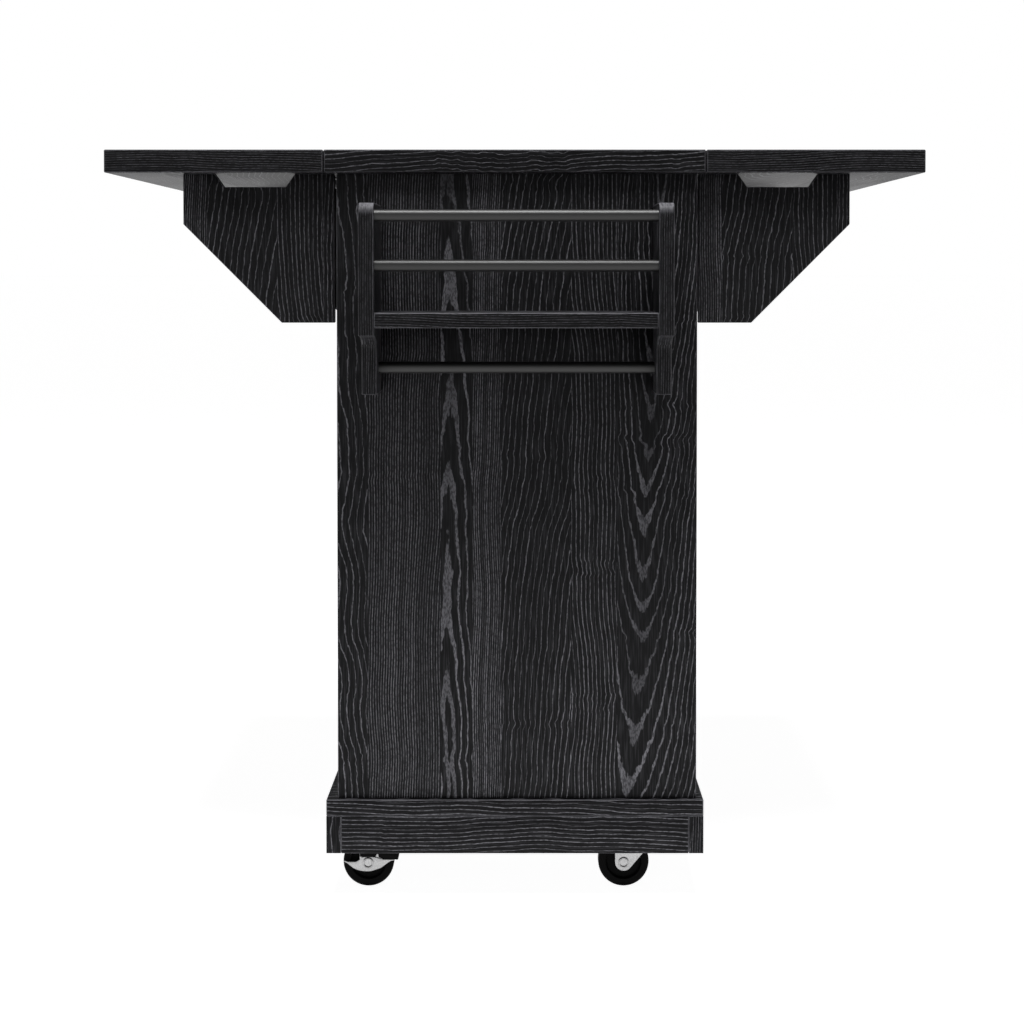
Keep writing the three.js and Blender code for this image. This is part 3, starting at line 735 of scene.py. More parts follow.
class Tool:
    """A geometry node tree with named inputs, run once on a mesh and turned into plain faces."""

    def __init__(self, name: str, sizes: dict[str, float]) -> None:
        """Starts the tree.

        Args:
            name: The tree's name.
            sizes: The named inputs and their values.
        """
        self.tree = bpy.data.node_groups.new(name, "GeometryNodeTree")
        sockets = self.tree.interface
        for way in ("INPUT", "OUTPUT"):
            sockets.new_socket("Geometry", in_out=way, socket_type="NodeSocketGeometry")
        kinds = {**dict.fromkeys(sizes, "NodeSocketFloat"), "Finish": "NodeSocketMaterial"}
        self.keys = {
            label: sockets.new_socket(label, in_out="INPUT", socket_type=kind).identifier
            for label, kind in kinds.items()
        }
        self.sizes = sizes
        self.wiring = Wiring(self.tree)
        self.source = self.wiring.add("NodeGroupInput")
        self.result = self.wiring.add("NodeGroupOutput")

    def size(self, label: str) -> Socket:
        """The output of a named input."""
        return self.source.outputs[label]

    def end_with(self, geometry: Socket) -> None:
        """Realizes the instances, sets the material and ends the tree.

        Args:
            geometry: What the tree has made.
        """
        realize = self.wiring.add("GeometryNodeRealizeInstances", {0: geometry})
        feeds = {"Geometry": realize.outputs[0], "Material": self.size("Finish")}
        finish = self.wiring.add("GeometryNodeSetMaterial", feeds)
        self.wiring.feed(self.result.inputs[0], finish.outputs[0])

    def run(self, name: str, seed: bpy.types.Mesh, finish: bpy.types.Material, **sizes: float) -> Item:
        """Runs the tree on a mesh.

        Args:
            name: The new piece's name.
            seed: The mesh that the tree starts from.
            finish: The piece's material.
            **sizes: Inputs that differ from the tree's own.

        Returns:
            The piece, as plain faces with no modifier.
        """
        carrier = place_mesh(name + "_seed", seed)
        modifier = carrier.modifiers.new("tool", "NODES")
        modifier.node_group = self.tree
        for label, value in {**self.sizes, **sizes}.items():
            modifier[self.keys[label]] = value
        modifier[self.keys["Finish"]] = finish
        depsgraph = bpy.context.evaluated_depsgraph_get()
        mesh = bpy.data.meshes.new_from_object(carrier.evaluated_get(depsgraph))
        mesh.name = name
        bpy.data.objects.remove(carrier)
        return place_mesh(name, mesh)


@dataclass(frozen=True)
class ScrewSpot:
    """Where a screw head sits: its middle, and the way it faces."""

    place: Vector
    facing: Vector


HEAD_SEGMENTS = 20
HEAD_RINGS = 8
SLOT_LENGTH = 0.62  # of a screw's cross slot, as a share of the head's diameter
SLOT_LEVEL = 0.85  # middle of the block that cuts the slot, as a share of the head's height
ROD_STEPS = 48


def screw_tool() -> Tool:
    """Builds the tree that puts a cross-slotted screw head at each point of a mesh.

    Returns:
        The tree.
    """
    tool = Tool("screws", {"Head Diameter": 5.0 * MM, "Head Height": 0.9 * MM, "Slot Width": 0.8 * MM})
    wiring = tool.wiring
    diameter, height, width = (tool.size(label) for label in tool.sizes)
    ball = {"Segments": HEAD_SEGMENTS, "Rings": HEAD_RINGS, "Radius": 1.0}
    head = wiring.add("GeometryNodeMeshUVSphere", ball)
    radius = wiring.times(diameter, 0.5)
    shape = {"Geometry": head.outputs[0], "Scale": wiring.vector(radius, radius, height)}
    shaped = wiring.add("GeometryNodeTransform", shape)
    cut = wiring.add("GeometryNodeMeshBoolean", {"Mesh 1": shaped.outputs[0]}, operation="DIFFERENCE")
    length = wiring.times(diameter, SLOT_LENGTH)
    lift = wiring.vector(0.0, 0.0, wiring.times(height, SLOT_LEVEL))
    for x, y in ((length, width), (width, length)):
        bar = wiring.add("GeometryNodeMeshCube", {"Size": wiring.vector(x, y, height)})
        raised = wiring.add("GeometryNodeTransform", {"Geometry": bar.outputs[0], "Translation": lift})
        wiring.feed(cut.inputs["Mesh 2"], raised.outputs[0])
    facing = wiring.add("GeometryNodeInputNamedAttribute", {"Name": FACING}, data_type="FLOAT_VECTOR")
    turn = wiring.add("FunctionNodeAlignRotationToVector", {"Vector": facing.outputs[0]}, axis="Z")
    spots = {"Points": tool.size("Geometry"), "Instance": cut.outputs[0], "Rotation": turn.outputs[0]}
    tool.end_with(wiring.add("GeometryNodeInstanceOnPoints", spots).outputs[0])
    return tool


def rod_tool() -> Tool:
    """Builds the tree that runs a round rod along a mesh's edges.

    Returns:
        The tree.
    """
    tool = Tool("rods", {"Radius": 7.0 * MM})
    wiring = tool.wiring
    path = wiring.add("GeometryNodeMeshToCurve", {0: tool.size("Geometry")})
    circle = {"Resolution": ROD_STEPS, "Radius": tool.size("Radius")}
    ring = wiring.add("GeometryNodeCurvePrimitiveCircle", circle)
    sweep = {"Curve": path.outputs[0], "Profile Curve": ring.outputs[0], "Fill Caps": True}
    tool.end_with(wiring.add("GeometryNodeCurveToMesh", sweep).outputs[0])
    return tool


def points_mesh(name: str, spots: Sequence[ScrewSpot]) -> bpy.types.Mesh:
    """A mesh of loose points that carry the way they face.

    Args:
        name: The mesh's name.
        spots: The points.

    Returns:
        The mesh.
    """
    mesh = bpy.data.meshes.new(name)
    mesh.from_pydata([spot.place for spot in spots], [], [])
    layer = mesh.attributes.new(FACING, "FLOAT_VECTOR", "POINT")
    for value, spot in zip(layer.data, spots):
        value.vector = spot.facing
    return mesh


# ---------------------------------------------------------------- the bench


class Bench:
    """Holds the frame, the finishes and the tools, and hands each finished piece over."""

    def __init__(self) -> None:
        """Loads the frame and makes the finishes and tools."""
        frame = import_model()
        self.nodes: dict[str, Item] = frame["nodes"]
        self.box_low, self.box_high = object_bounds()
        self.finishes = {Slot.OAK: BlackOak().material()}
        self.finishes.update((slot, coat.material()) for slot, coat in COATS.items())
        self.screws = screw_tool()
        self.rods = rod_tool()
        self.spots: dict[tuple[str, Slot], list[ScrewSpot]] = {}

    def hand_over(self, item: Item, body: str, slot: Slot, *nodes: str, painted: bool = False) -> None:
        """Dresses a piece and fastens it to its body.

        Args:
            item: The piece, in place.
            body: The body that carries it.
            slot: The finish it takes.
            *nodes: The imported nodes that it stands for.
            painted: Whether its material is already set.
        """
        if not painted:
            item.data.materials.clear()
            item.data.materials.append(self.finishes[slot])
        if nodes:
            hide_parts(*nodes)
        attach(item, body)
        LOG.info("%s: %d faces on %s", item.name, len(item.data.polygons), body)

    def veneer(self, bm: Work, node: str, body: str, grain: Grain, origin: Point) -> None:
        """Makes a veneered board of mesh work.

        Args:
            bm: The mesh work.
            node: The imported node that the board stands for.
            body: The body that carries it.
            grain: The axis of its grain.
            origin: Its place on the veneer.
        """
        item = finish_mesh(bm, node + "_board")
        lay_grain(item, grain, origin)
        self.hand_over(item, body, Slot.OAK, node)

    def board(
        self,
        node: str,
        body: str,
        grain: Grain,
        ease: float = 0.7 * MM,
        origin: Point | None = None,
        highlight: float = BOARD_HIGHLIGHT,
    ) -> None:
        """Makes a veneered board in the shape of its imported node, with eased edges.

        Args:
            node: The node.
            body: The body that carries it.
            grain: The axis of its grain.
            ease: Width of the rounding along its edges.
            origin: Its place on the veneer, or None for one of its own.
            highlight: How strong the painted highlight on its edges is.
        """
        bm = node_copy(self.nodes[node])
        round_edges(bm, ease, longer_than=10 * ease, highlight=highlight)
        self.veneer(bm, node, body, grain, origin or sheet_corner(node))

    def rod(self, node: str, body: str) -> None:
        """Makes a round bar along X.

        Args:
            node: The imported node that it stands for.
            body: The body that carries it.
        """
        (low, high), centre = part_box(node), middle(node)
        seed = bpy.data.meshes.new(node + "_path")
        seed.from_pydata([(x, centre.y, centre.z) for x in (low.x, high.x)], [(0, 1)], [])
        item = self.rods.run(node + "_bar", seed, self.finishes[Slot.METAL], Radius=(high.z - low.z) / 2)
        smooth(item.data, 40)
        self.hand_over(item, body, Slot.METAL, node, painted=True)

    def ask_screw(self, body: str, slot: Slot, place: Vector, facing: Vector) -> None:
        """Notes where a screw head goes."""
        self.spots.setdefault((body, slot), []).append(ScrewSpot(place, facing))

    def drive_screws(self) -> None:
        """Makes the screws that the sub-assemblies asked for, one piece for each body and finish."""
        for (body, slot), spots in self.spots.items():
            seed = points_mesh(f"screw_spots_{body}", spots)
            item = self.screws.run(f"screws_{body}_{slot.value}", seed, self.finishes[slot])
            self.hand_over(item, body, slot, painted=True)


# ---------------------------------------------------------------- sub-assemblies

SIDES = ("front", "back")
ENDS = ("near", "far")


def corners() -> Iterator[tuple[str, str, int, int]]:
    """Each side and end with the way out along X and the way in along Y.

    Yields:
        The side, the end, the way out and the way in.
    """
    for side, out in zip(SIDES, (-1, 1)):
        for end, inward in zip(ENDS, (1, -1)):
            yield side, end, out, inward


@dataclass
class Worktop:
    """The middle top and the two leaves, edged all round."""

    bench: Bench
    edge_round: float = 1.6 * MM
    round_steps: int = 4
    # strength of the painted highlight on the rounded edges
    edge_highlight: float = 0.55
    top_grain: float = 0.29  # places across the veneer that the end edges show
    leaf_grain: float = 0.452

    def build(self) -> None:
        """Makes the three slabs."""
        self.slab("top_main", "cabinet", self.top_grain)
        for side in SIDES:
            self.slab(f"leaf_{side}", f"leaf_{side}", self.leaf_grain)

    def slab(self, node: str, body: str, end_grain: float) -> None:
        """Makes one slab.

        Args:
            node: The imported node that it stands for.
            body: The body that carries it.
            end_grain: The place across the veneer that its end edges show.
        """
        low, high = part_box(node)
        bm = block(low, high)
        round_edges(bm, self.edge_round, self.round_steps, highlight=self.edge_highlight)
        self.bench.veneer(bm, node, body, Grain.ALONG, edge_corner(node, low.z, end_grain))


@dataclass
class Carcass:
    """The boards of the cupboard: end panels, back, front rail and the shelf inside."""

    bench: Bench

    def build(self) -> None:
        """Makes the boards, the rack's end panel with the veneer's first strip at its left edge."""
        low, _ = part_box("end_panel_rack")
        self.bench.board("end_panel_rack", "cabinet", Grain.UPRIGHT, origin=(low.x, 0.0))
        for node in ("end_panel_far", "back_panel"):
            self.bench.board(node, "cabinet", Grain.UPRIGHT)
        for node in ("front_rail", "inner_shelf"):
            self.bench.board(node, "cabinet", Grain.ALONG)


@dataclass
class Doors:
    """The two inset doors with their turned knobs."""

    bench: Bench
    ease: float = 1.0 * MM
    knob_steps: int = 40
    head_thickness: float = 12.5 * MM
    head_end: float = 86  # degrees up to which the head's curve runs towards the middle of its face
    neck_radius: float = 6.3 * MM
    foot_radius: float = 8.2 * MM
    foot_rim: float = 0.8 * MM
    smooth_under: float = 50

    def build(self) -> None:
        """Makes both doors."""
        for end in ENDS:
            self.bench.board(f"door_{end}", f"door_{end}", Grain.UPRIGHT, ease=self.ease)
            self.knob(end)

    def knob(self, end: str) -> None:
        """Turns the knob of one door about X, its foot on the door.

        Args:
            end: The door's end.
        """
        node = f"door_knob_{end}"
        (low, high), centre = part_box(node), middle(node)
        radius, reach = (high.z - low.z) / 2, high.x - low.x
        half_head = self.head_thickness / 2
        start = -math.degrees(math.acos(self.neck_radius / radius))
        flare = self.foot_radius - self.neck_radius
        profile = [(0, 0), (self.foot_radius, 0), (self.foot_radius, self.foot_rim)]
        profile += arc((self.foot_radius, self.foot_rim + 2 * flare), (flare, 2 * flare), 270, 180, 6)
        profile += arc((0.0, reach - half_head), (radius, half_head), start, self.head_end, 16)
        profile += [(0, reach)]
        bm = bmesh.new()
        lathe(bm, profile, self.knob_steps, quarter_turn(Vector((high.x, centre.y, centre.z)), "Y"))
        item = finish_mesh(bm, f"{node}_turned", self.smooth_under)
        self.bench.hand_over(item, f"door_{end}", Slot.METAL, node)


@dataclass(frozen=True)
class Hinge:
    """One half of a hinge: a wing with rounded corners, its knuckles and, in one half, the pin."""

    knuckles: int
    knuckle_radius: float
    pin_radius: float
    wing_thickness: float
    wing_width: float
    corner: float = 3.0 * MM
    gap: float = 0.3 * MM
    pin_play: float = 0.1 * MM
    rim_ease: float = 0.12  # share of a barrel's radius
    steps: int = 24
    smooth_under: float = 40

    def half(
        self, bench: Bench, node: str, body: str, run: Vector, face: Vector, pin_half: bool, screws: Outline
    ) -> None:
        """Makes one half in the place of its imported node.

        Args:
            bench: The bench.
            node: The node it stands for.
            body: The body that carries it.
            run: The way the wing runs from the pin.
            face: The way to the board that it lies on.
            pin_half: Whether this half holds the pin.
            screws: Where the screws sit, as the distance from the pin and the share of the length.
        """
        low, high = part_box(node)
        axis = run.cross(face)
        far = sum(max(low[i] * run[i], high[i] * run[i]) for i in range(3))
        top = sum(max(low[i] * face[i], high[i] * face[i]) for i in range(3))
        length = sum(abs(axis[i]) * (high[i] - low[i]) for i in range(3))
        centre = Vector(abs(axis[i]) * middle(node)[i] for i in range(3))
        pin = run * (far - self.wing_width) + face * (top - self.knuckle_radius) + centre
        place = Matrix.Translation(pin) @ Matrix((run, face, axis)).transposed().to_4x4()
        bm = bmesh.new()
        self.wing(bm, length, place)
        pitch = length / self.knuckles
        for k in range(int(pin_half), self.knuckles, 2):
            start = -length / 2 + k * pitch + (self.gap / 2 if k else 0.0)
            end = -length / 2 + (k + 1) * pitch - (self.gap / 2 if k < self.knuckles - 1 else 0.0)
            self.knuckle(bm, start, end, place, 0.0 if pin_half else self.pin_radius + self.pin_play)
        if pin_half:
            self.barrel(bm, self.pin_radius, -length / 2, length / 2, place)
        bench.hand_over(finish_mesh(bm, node + "_leaf", self.smooth_under), body, Slot.METAL, node)
        surface = self.knuckle_radius - self.wing_thickness
        for reach, share in screws:
            bench.ask_screw(body, Slot.METAL, place @ Vector((reach, surface, share * length)), -face)

    def wing(self, bm: Work, length: float, place: Matrix) -> None:
        """Adds the wing, its two outer corners rounded.

        Args:
            bm: The mesh work that gets it.
            length: Its length along the pin.
            place: Puts the pin, Z, where it belongs.
        """
        start, half, r = self.knuckle_radius + self.gap, length / 2, self.corner
        inset = self.wing_width - r
        outline = [(start, -half), *arc((inset, r - half), (r, r), -90, 0, 6)]
        outline += [*arc((inset, half - r), (r, r), 0, 90, 6), (start, half)]
        wing = prism(outline, 1, self.knuckle_radius - self.wing_thickness, self.knuckle_radius)
        wing.transform(place)
        add_work(bm, wing)

    def knuckle(self, bm: Work, start: float, end: float, place: Matrix, bore: float) -> None:
        """Adds one knuckle rolled from the wing.

        Args:
            bm: The mesh work that gets it.
            start: Where it starts along the pin.
            end: Where it ends.
            place: Puts the pin, Z, where it belongs.
            bore: Radius of the hole that the pin runs in.
        """
        self.barrel(bm, self.knuckle_radius, start, end, place, bore)
        low, high = self.knuckle_radius - self.wing_thickness, self.knuckle_radius
        tongue = block(Vector((0.0, low, start)), Vector((self.knuckle_radius + 2 * self.gap, high, end)))
        tongue.transform(place)
        add_work(bm, tongue)

    def barrel(
        self, bm: Work, radius: float, start: float, end: float, place: Matrix, bore: float = 0.0
    ) -> None:
        """Adds a round barrel about the pin, its rims eased.

        Args:
            bm: The mesh work that gets it.
            radius: Its radius.
            start: Where it starts along the pin.
            end: Where it ends.
            place: Puts the pin, Z, where it belongs.
            bore: Radius of the hole through it, or 0 for none.
        """
        ease = self.rim_ease * radius
        profile = [
            (bore, start), (radius - ease, start), (radius, start + ease),
            (radius, end - ease), (radius - ease, end), (bore, end),
        ]
        lathe(bm, profile, self.steps, place)


@dataclass
class Brackets:
    """The four swing-out brackets that hold the leaves up, each on a long hinge."""

    bench: Bench
    hinge: Hinge = Hinge(
        knuckles=5, knuckle_radius=2.5 * MM, pin_radius=1.2 * MM, wing_thickness=1.2 * MM, wing_width=24 * MM
    )
    face_grain: float = 0.172  # place across the veneer where a bracket's face starts
    screws: Outline = ((12 * MM, -0.40), (17 * MM, -0.13), (12 * MM, 0.13), (17 * MM, 0.40))

    def build(self) -> None:
        """Makes all four."""
        for sheet, (side, end, out, inward) in enumerate(corners()):
            body = f"bracket_{side}_{end}"
            low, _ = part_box(body)
            origin = (low.x - self.face_grain - sheet * VENEER_WIDTH, 0.0)
            self.bench.board(body, body, Grain.UPRIGHT, origin=origin)
            outward, inwards = Vector((out, 0, 0)), Vector((0, inward, 0))
            fixed, moving = (f"bracket_hinge_{half}_{side}_{end}" for half in ("fixed", "moving"))
            self.hinge.half(self.bench, fixed, "cabinet", inwards, -outward, False, self.screws)
            self.hinge.half(self.bench, moving, body, outward, -inwards, True, self.screws)


@dataclass
class LeafHinges:
    """The four hinges under the seams between the middle top and the leaves."""

    bench: Bench
    hinge: Hinge = Hinge(
        knuckles=3, knuckle_radius=4.5 * MM, pin_radius=2.2 * MM, wing_thickness=2.0 * MM, wing_width=30 * MM
    )
    leaf_screws: Outline = ((12 * MM, -0.33), (22 * MM, 0.0), (12 * MM, 0.33))
    top_screws: Outline = ((11.5 * MM, -0.33), (11.5 * MM, 0.33))

    def build(self) -> None:
        """Makes all four."""
        up = Vector((0, 0, 1))
        for side, end, out, _ in corners():
            outward = Vector((out, 0, 0))
            fixed, moving = (f"leaf_hinge_{half}_{side}_{end}" for half in ("fixed", "moving"))
            self.hinge.half(self.bench, fixed, "cabinet", -outward, up, False, self.top_screws)
            self.hinge.half(self.bench, moving, f"leaf_{side}", outward, up, True, self.leaf_screws)


@dataclass
class Plinth:
    """The base board, the fascias round it and the boards that the casters are screwed to."""

    bench: Bench
    base_ease: float = 1.0 * MM
    # strength of the painted highlight on the base board's edges
    base_highlight: float = 1.2
    base_grain: float = 0.30  # places across the veneer that the edges show
    fascia_grain: float = 0.290

    def build(self) -> None:
        """Makes the boards."""
        origin = edge_corner("base_board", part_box("base_board")[0].z, self.base_grain)
        self.bench.board("base_board", "cabinet", Grain.ACROSS, self.base_ease, origin, self.base_highlight)
        for side in SIDES:
            self.fascia(f"fascia_{side}", Grain.ALONG)
        for end in ENDS:
            self.fascia(f"fascia_end_{end}", Grain.ACROSS)
            self.bench.board(f"caster_board_{end}", "cabinet", Grain.ACROSS)

    def fascia(self, node: str, grain: Grain) -> None:
        """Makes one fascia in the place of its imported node."""
        origin = edge_corner(node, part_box(node)[0].z, self.fascia_grain)
        self.bench.board(node, "cabinet", grain, origin=origin)


@dataclass
class Rack:
    """The spice shelf with its two guard bars, and the towel bar under it."""

    bench: Bench
    step_z: float = 696 * MM
    cove_height: float = 18 * MM
    lower_depth: float = 73.5 * MM
    back_gap: float = 0.3 * MM
    corner: float = 15 * MM
    curve_steps: int = 12
    edge_round: float = 1.2 * MM
    # strength of the painted highlight on the uprights' rounded edges
    edge_highlight: float = 0.45
    corner_highlight: float = 1.3  # painted highlight on the rounded top corner, as strong as its face turns up
    shelf_ease: float = 1.1 * MM
    # strength of the painted highlight on the shelf's edges
    shelf_highlight: float = 1.5
    fine_grain: float = 0.452  # place across the veneer that the narrow front edges show

    def build(self) -> None:
        """Makes the uprights, the shelf and the bars."""
        for hand in ("left", "right"):
            self.upright(f"rack_upright_{hand}")
        origin = edge_corner("rack_shelf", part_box("rack_shelf")[0].z, self.fine_grain)
        self.bench.board("rack_shelf", "cabinet", Grain.ACROSS, self.shelf_ease, origin, self.shelf_highlight)
        for bar in ("guard_bar_upper", "guard_bar_lower", "towel_bar"):
            self.bench.rod(bar, "cabinet")

    def upright(self, node: str) -> None:
        """Makes one upright, deep above its cove and shallower below.

        Args:
            node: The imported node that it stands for.
        """
        low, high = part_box(node)
        front, back, r = low.y, high.y, self.corner
        lower = back + self.back_gap - self.lower_depth
        cove = (front, self.step_z - self.cove_height)
        outline = [(back, low.z), (back, high.z)]
        outline += arc((front + r, high.z - r), (r, r), 90, 180, self.curve_steps)
        outline += arc(cove, (lower - front, self.cove_height), 90, 0, self.curve_steps)
        outline += [(lower, low.z)]
        bm = prism(outline, 0, low.x, high.x)
        round_edges(bm, self.edge_round, 3, longer_than=self.edge_round, highlight=self.edge_highlight)
        highlit = bm.faces.layers.float[EDGE_HIGHLIGHT]
        # painted highlight on the rounded top corner, stronger the more its face turns up
        for face in bm.faces:
            if face.normal.z > 0 and face.calc_center_median().y < front + r:
                face[highlit] = max(face[highlit], self.corner_highlight * face.normal.z)
        origin = edge_corner(node, low.x, self.fine_grain)
        self.bench.veneer(bm, node, "cabinet", Grain.UPRIGHT, origin)


@dataclass
class Casters:
    """The four swivel casters: plate, fork, wheel and, at the front, a brake lever."""

    bench: Bench
    wheel_steps: int = 72
    hub_radius: float = 9 * MM
    hub_ease: float = 0.6 * MM
    hub_draft: float = 0.8 * MM
    rim_radius: float = 22 * MM
    rim_ease: float = 0.6 * MM
    rim_draft: float = 1 * MM
    web_half: float = 6 * MM
    tread_round: float = 4 * MM
    tread_inset: float = 2 * MM  # how far the tread's side stands behind the hub's
    wheel_smooth_under: float = 38
    axle_radius: float = 4 * MM
    plate_thickness: float = 2.5 * MM
    plate_corner: float = 5 * MM
    plate_smooth_under: float = 40
    screw_inset: float = 5.5 * MM
    turned_steps: int = 56
    race_radius: float = 20 * MM
    race_height: float = 7 * MM
    race_lip: float = 1 * MM
    race_round: float = 3 * MM
    race_ease: float = 1.2 * MM
    crown_radius: float = 19 * MM
    crown_thickness: float = 3 * MM
    crown_ease: float = 0.8 * MM
    kingpin_radius: float = 5 * MM
    kingpin_ease: float = 1 * MM
    arm_inner: float = 13.3 * MM
    arm_outer: float = 15.3 * MM
    arm_radius: float = 10.8 * MM
    arm_slant: float = 49.5  # degrees from level of the arm's sloping edge
    arm_edge: float = 11.4 * MM
    arm_shoulder: float = 18.4 * MM
    axle_steps: int = 40
    bead_radius: float = 5.7 * MM  # crest of the bead pressed up round each end of the axle
    bead_half: float = 1.3 * MM
    bead_height: float = 1.3 * MM
    crest_half: float = 0.3 * MM
    crest_drop: float = 0.1 * MM
    dish: Point = (0.15 * MM, 0.2 * MM)  # level of the axle's end inside the bead, at its rim and its middle
    head_sink: float = 1 * MM
    lever_inner: float = 15.6 * MM
    lever_outer: float = 17.1 * MM
    clear: float = 0.3 * MM
    small_round: float = 0.4 * MM
    cheek_round: float = 0.25 * MM

    def build(self) -> None:
        """Makes all four."""
        for side, end, _, _ in corners():
            tag = f"{side}_{end}"
            braked = f"brake_lever_{tag}" in self.bench.nodes
            self.wheel(tag)
            self.plate(tag)
            self.fork(tag, self.lever_outer + self.clear if braked else self.arm_outer)
            if braked:
                self.lever(tag)
                self.pedal(tag)

    def wheel(self, tag: str) -> None:
        """Makes one wheel about Y, with a crowned tread, a stepped rim and a hub.

        Args:
            tag: The caster's side and end.
        """
        node = f"caster_wheel_{tag}"
        low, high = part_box(node)
        radius, half = (high.z - low.z) / 2, (high.y - low.y) / 2
        hub, rim, tread_half = self.hub_radius, self.rim_radius, half - self.tread_inset
        side = [
            (self.axle_radius + self.clear, half), (hub - self.hub_ease, half), (hub, half - self.hub_ease),
            (hub + self.hub_draft, self.web_half), (rim - self.rim_draft, self.web_half),
            (rim, tread_half - self.rim_ease), (rim + self.rim_ease, tread_half),
        ]
        shoulder = (radius - self.tread_round, tread_half - self.tread_round)
        side += arc(shoulder, (self.tread_round, self.tread_round), 90, 0, 6)
        bm = bmesh.new()
        profile = [*side, *[(r, -h) for r, h in reversed(side)]]
        lathe(bm, profile, self.wheel_steps, quarter_turn(middle(node), "X"))
        item = finish_mesh(bm, f"{node}_tyre", self.wheel_smooth_under)
        self.bench.hand_over(item, node, Slot.WHEEL, node)

    def plate(self, tag: str) -> None:
        """Makes the screwed-on plate with its bearing race.

        Args:
            tag: The caster's side and end.
        """
        node = f"caster_plate_{tag}"
        (low, high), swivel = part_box(node), middle(node)
        half, r = swivel.x - low.x, self.plate_corner
        outline = []
        for turn, (x, y) in enumerate(((1, 1), (-1, 1), (-1, -1), (1, -1))):
            centre = (swivel.x + x * (half - r), swivel.y + y * (half - r))
            outline += arc(centre, (r, r), 90 * turn, 90 * turn + 90, 5)
        under = high.z - self.plate_thickness
        bm = prism(outline, 2, under, high.z)
        round_edges(bm, self.small_round)
        hole, foot = self.kingpin_radius + self.clear, under - self.race_height
        race, lip, bend = self.race_radius, self.race_lip, self.race_round
        profile = [
            (hole, under), (hole, foot + lip), (hole + lip, foot), (race - bend, foot),
            *arc((race - bend, foot + bend), (bend, bend), -90, 0, 6)[1:],
            (race, under - self.race_ease), (race - self.race_ease, under),
        ]
        lathe(bm, profile, self.turned_steps, Matrix.Translation((swivel.x, swivel.y, 0.0)))
        item = finish_mesh(bm, f"{node}_pressed", self.plate_smooth_under)
        self.bench.hand_over(item, "cabinet", Slot.ZINC, node)
        reach = half - self.screw_inset
        for x in (-reach, reach):
            for y in (-reach, reach):
                spot = Vector((swivel.x + x, swivel.y + y, under))
                self.bench.ask_screw("cabinet", Slot.ZINC, spot, Vector((0, 0, -1)))

    def fork(self, tag: str, rivet_from: float) -> None:
        """Makes the fork: crown and kingpin, two pressed arms, the axle and its rivet heads.

        Args:
            tag: The caster's side and end.
            rivet_from: Where the rivet heads start, out from the middle.
        """
        swivel, axle = middle(f"caster_plate_{tag}"), middle(f"caster_wheel_{tag}")
        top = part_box(f"caster_plate_{tag}")[1].z
        crown_top = top - self.plate_thickness - self.race_height - self.clear
        crown_low = crown_top - self.crown_thickness
        crown, edge = self.crown_radius, self.crown_ease
        kingpin, pin_top = self.kingpin_radius, top - self.clear
        profile = [
            (0, crown_low), (crown - edge, crown_low), (crown, crown_low + edge), (crown, crown_top - edge),
            (crown - edge, crown_top), (kingpin, crown_top), (kingpin, pin_top - self.kingpin_ease),
            (kingpin - self.kingpin_ease, pin_top), (0, pin_top),
        ]
        bm = bmesh.new()
        lathe(bm, profile, self.turned_steps, Matrix.Translation((swivel.x, swivel.y, 0.0)))
        outline = self.arm_outline(swivel.x, axle, crown_top - self.crown_thickness / 2)
        for out in (-1, 1):
            sides = sorted(swivel.y + out * side for side in (self.arm_inner, self.arm_outer))
            arm = prism(outline, 1, *sides)
            round_edges(arm, self.small_round)
            add_work(bm, arm)
            lathe(bm, self.rivet_head(rivet_from), self.axle_steps, quarter_turn(axle, "X", out))
        rim = self.axle_radius
        shaft = [(0, -rivet_from), (rim, -rivet_from), (rim, rivet_from), (0, rivet_from)]
        lathe(bm, shaft, self.axle_steps, quarter_turn(axle, "X"))
        body = f"caster_fork_{tag}"
        self.bench.hand_over(finish_mesh(bm, f"{body}_pressed"), body, Slot.ZINC, body)

    def rivet_head(self, start: float) -> Outline:
        """The turned profile of one end of the axle.

        Args:
            start: Where the head starts, out from the axle's middle.

        Returns:
            The radius and height of each point.
        """
        bead, crest, foot = self.bead_radius, start + self.bead_height, start - self.head_sink
        return [
            (0, foot), (self.axle_radius, foot), (self.axle_radius, start), (bead + self.bead_half, start),
            (bead + self.crest_half, crest - self.crest_drop), (bead, crest),
            (bead - self.crest_half, crest - self.crest_drop), (bead - self.bead_half, start + self.dish[0]),
            (0, start + self.dish[1]),
        ]

    def arm_outline(self, swivel_x: float, axle: Vector, top: float) -> Outline:
        """One fork arm seen along Y: round under the axle, upright behind it and sloping up to the crown.

        Args:
            swivel_x: Where the swivel axis is.
            axle: The middle of the axle.
            top: Where the arm ends in the crown.

        Returns:
            The outline in X and Z.
        """
        radius, slant = self.arm_radius, math.radians(self.arm_slant)
        points = arc((axle.x, axle.z), (radius, radius), 180, 270 + self.arm_slant, 20)
        start_x, start_z = points[-1]
        edge_x = swivel_x + self.arm_edge
        points += [(edge_x, start_z + (edge_x - start_x) * math.tan(slant)), (edge_x, top)]
        return [*points, (swivel_x - self.arm_edge, top), (axle.x - radius, axle.z + self.arm_shoulder)]

    def lever(self, tag: str) -> None:
        """Makes the two bright crescent cheeks of the brake lever, one on each side of the fork.

        Args:
            tag: The caster's side and end.
        """
        outline = [
            (-31.0, 1.9), (-25.6, -1.2), (-18.9, -6.6), *curve((-14.0, -8.9), (-5.0, -11.8), (4.0, -10.5)),
            (10.0, -8.6), (15.8, -6.6), (24.9, 0.1), (28.0, 2.2), (32.6, 2.9), (32.6, 3.7), (18.8, 3.9),
            *curve((12.5, 5.4), (9.7, 7.0), (3.0, 7.0)), (-5.5, 7.0),
            *curve((-8.5, 6.6), (-11.0, 2.2), (-16.5, 0.8)), (-25.0, 1.0), (-29.0, 2.2),
        ]
        body = f"brake_lever_{tag}"
        cheeks = self.cheeks(middle(f"caster_wheel_{tag}"), outline)
        self.bench.hand_over(finish_mesh(cheeks, f"{body}_crescent"), body, Slot.ZINC, body)

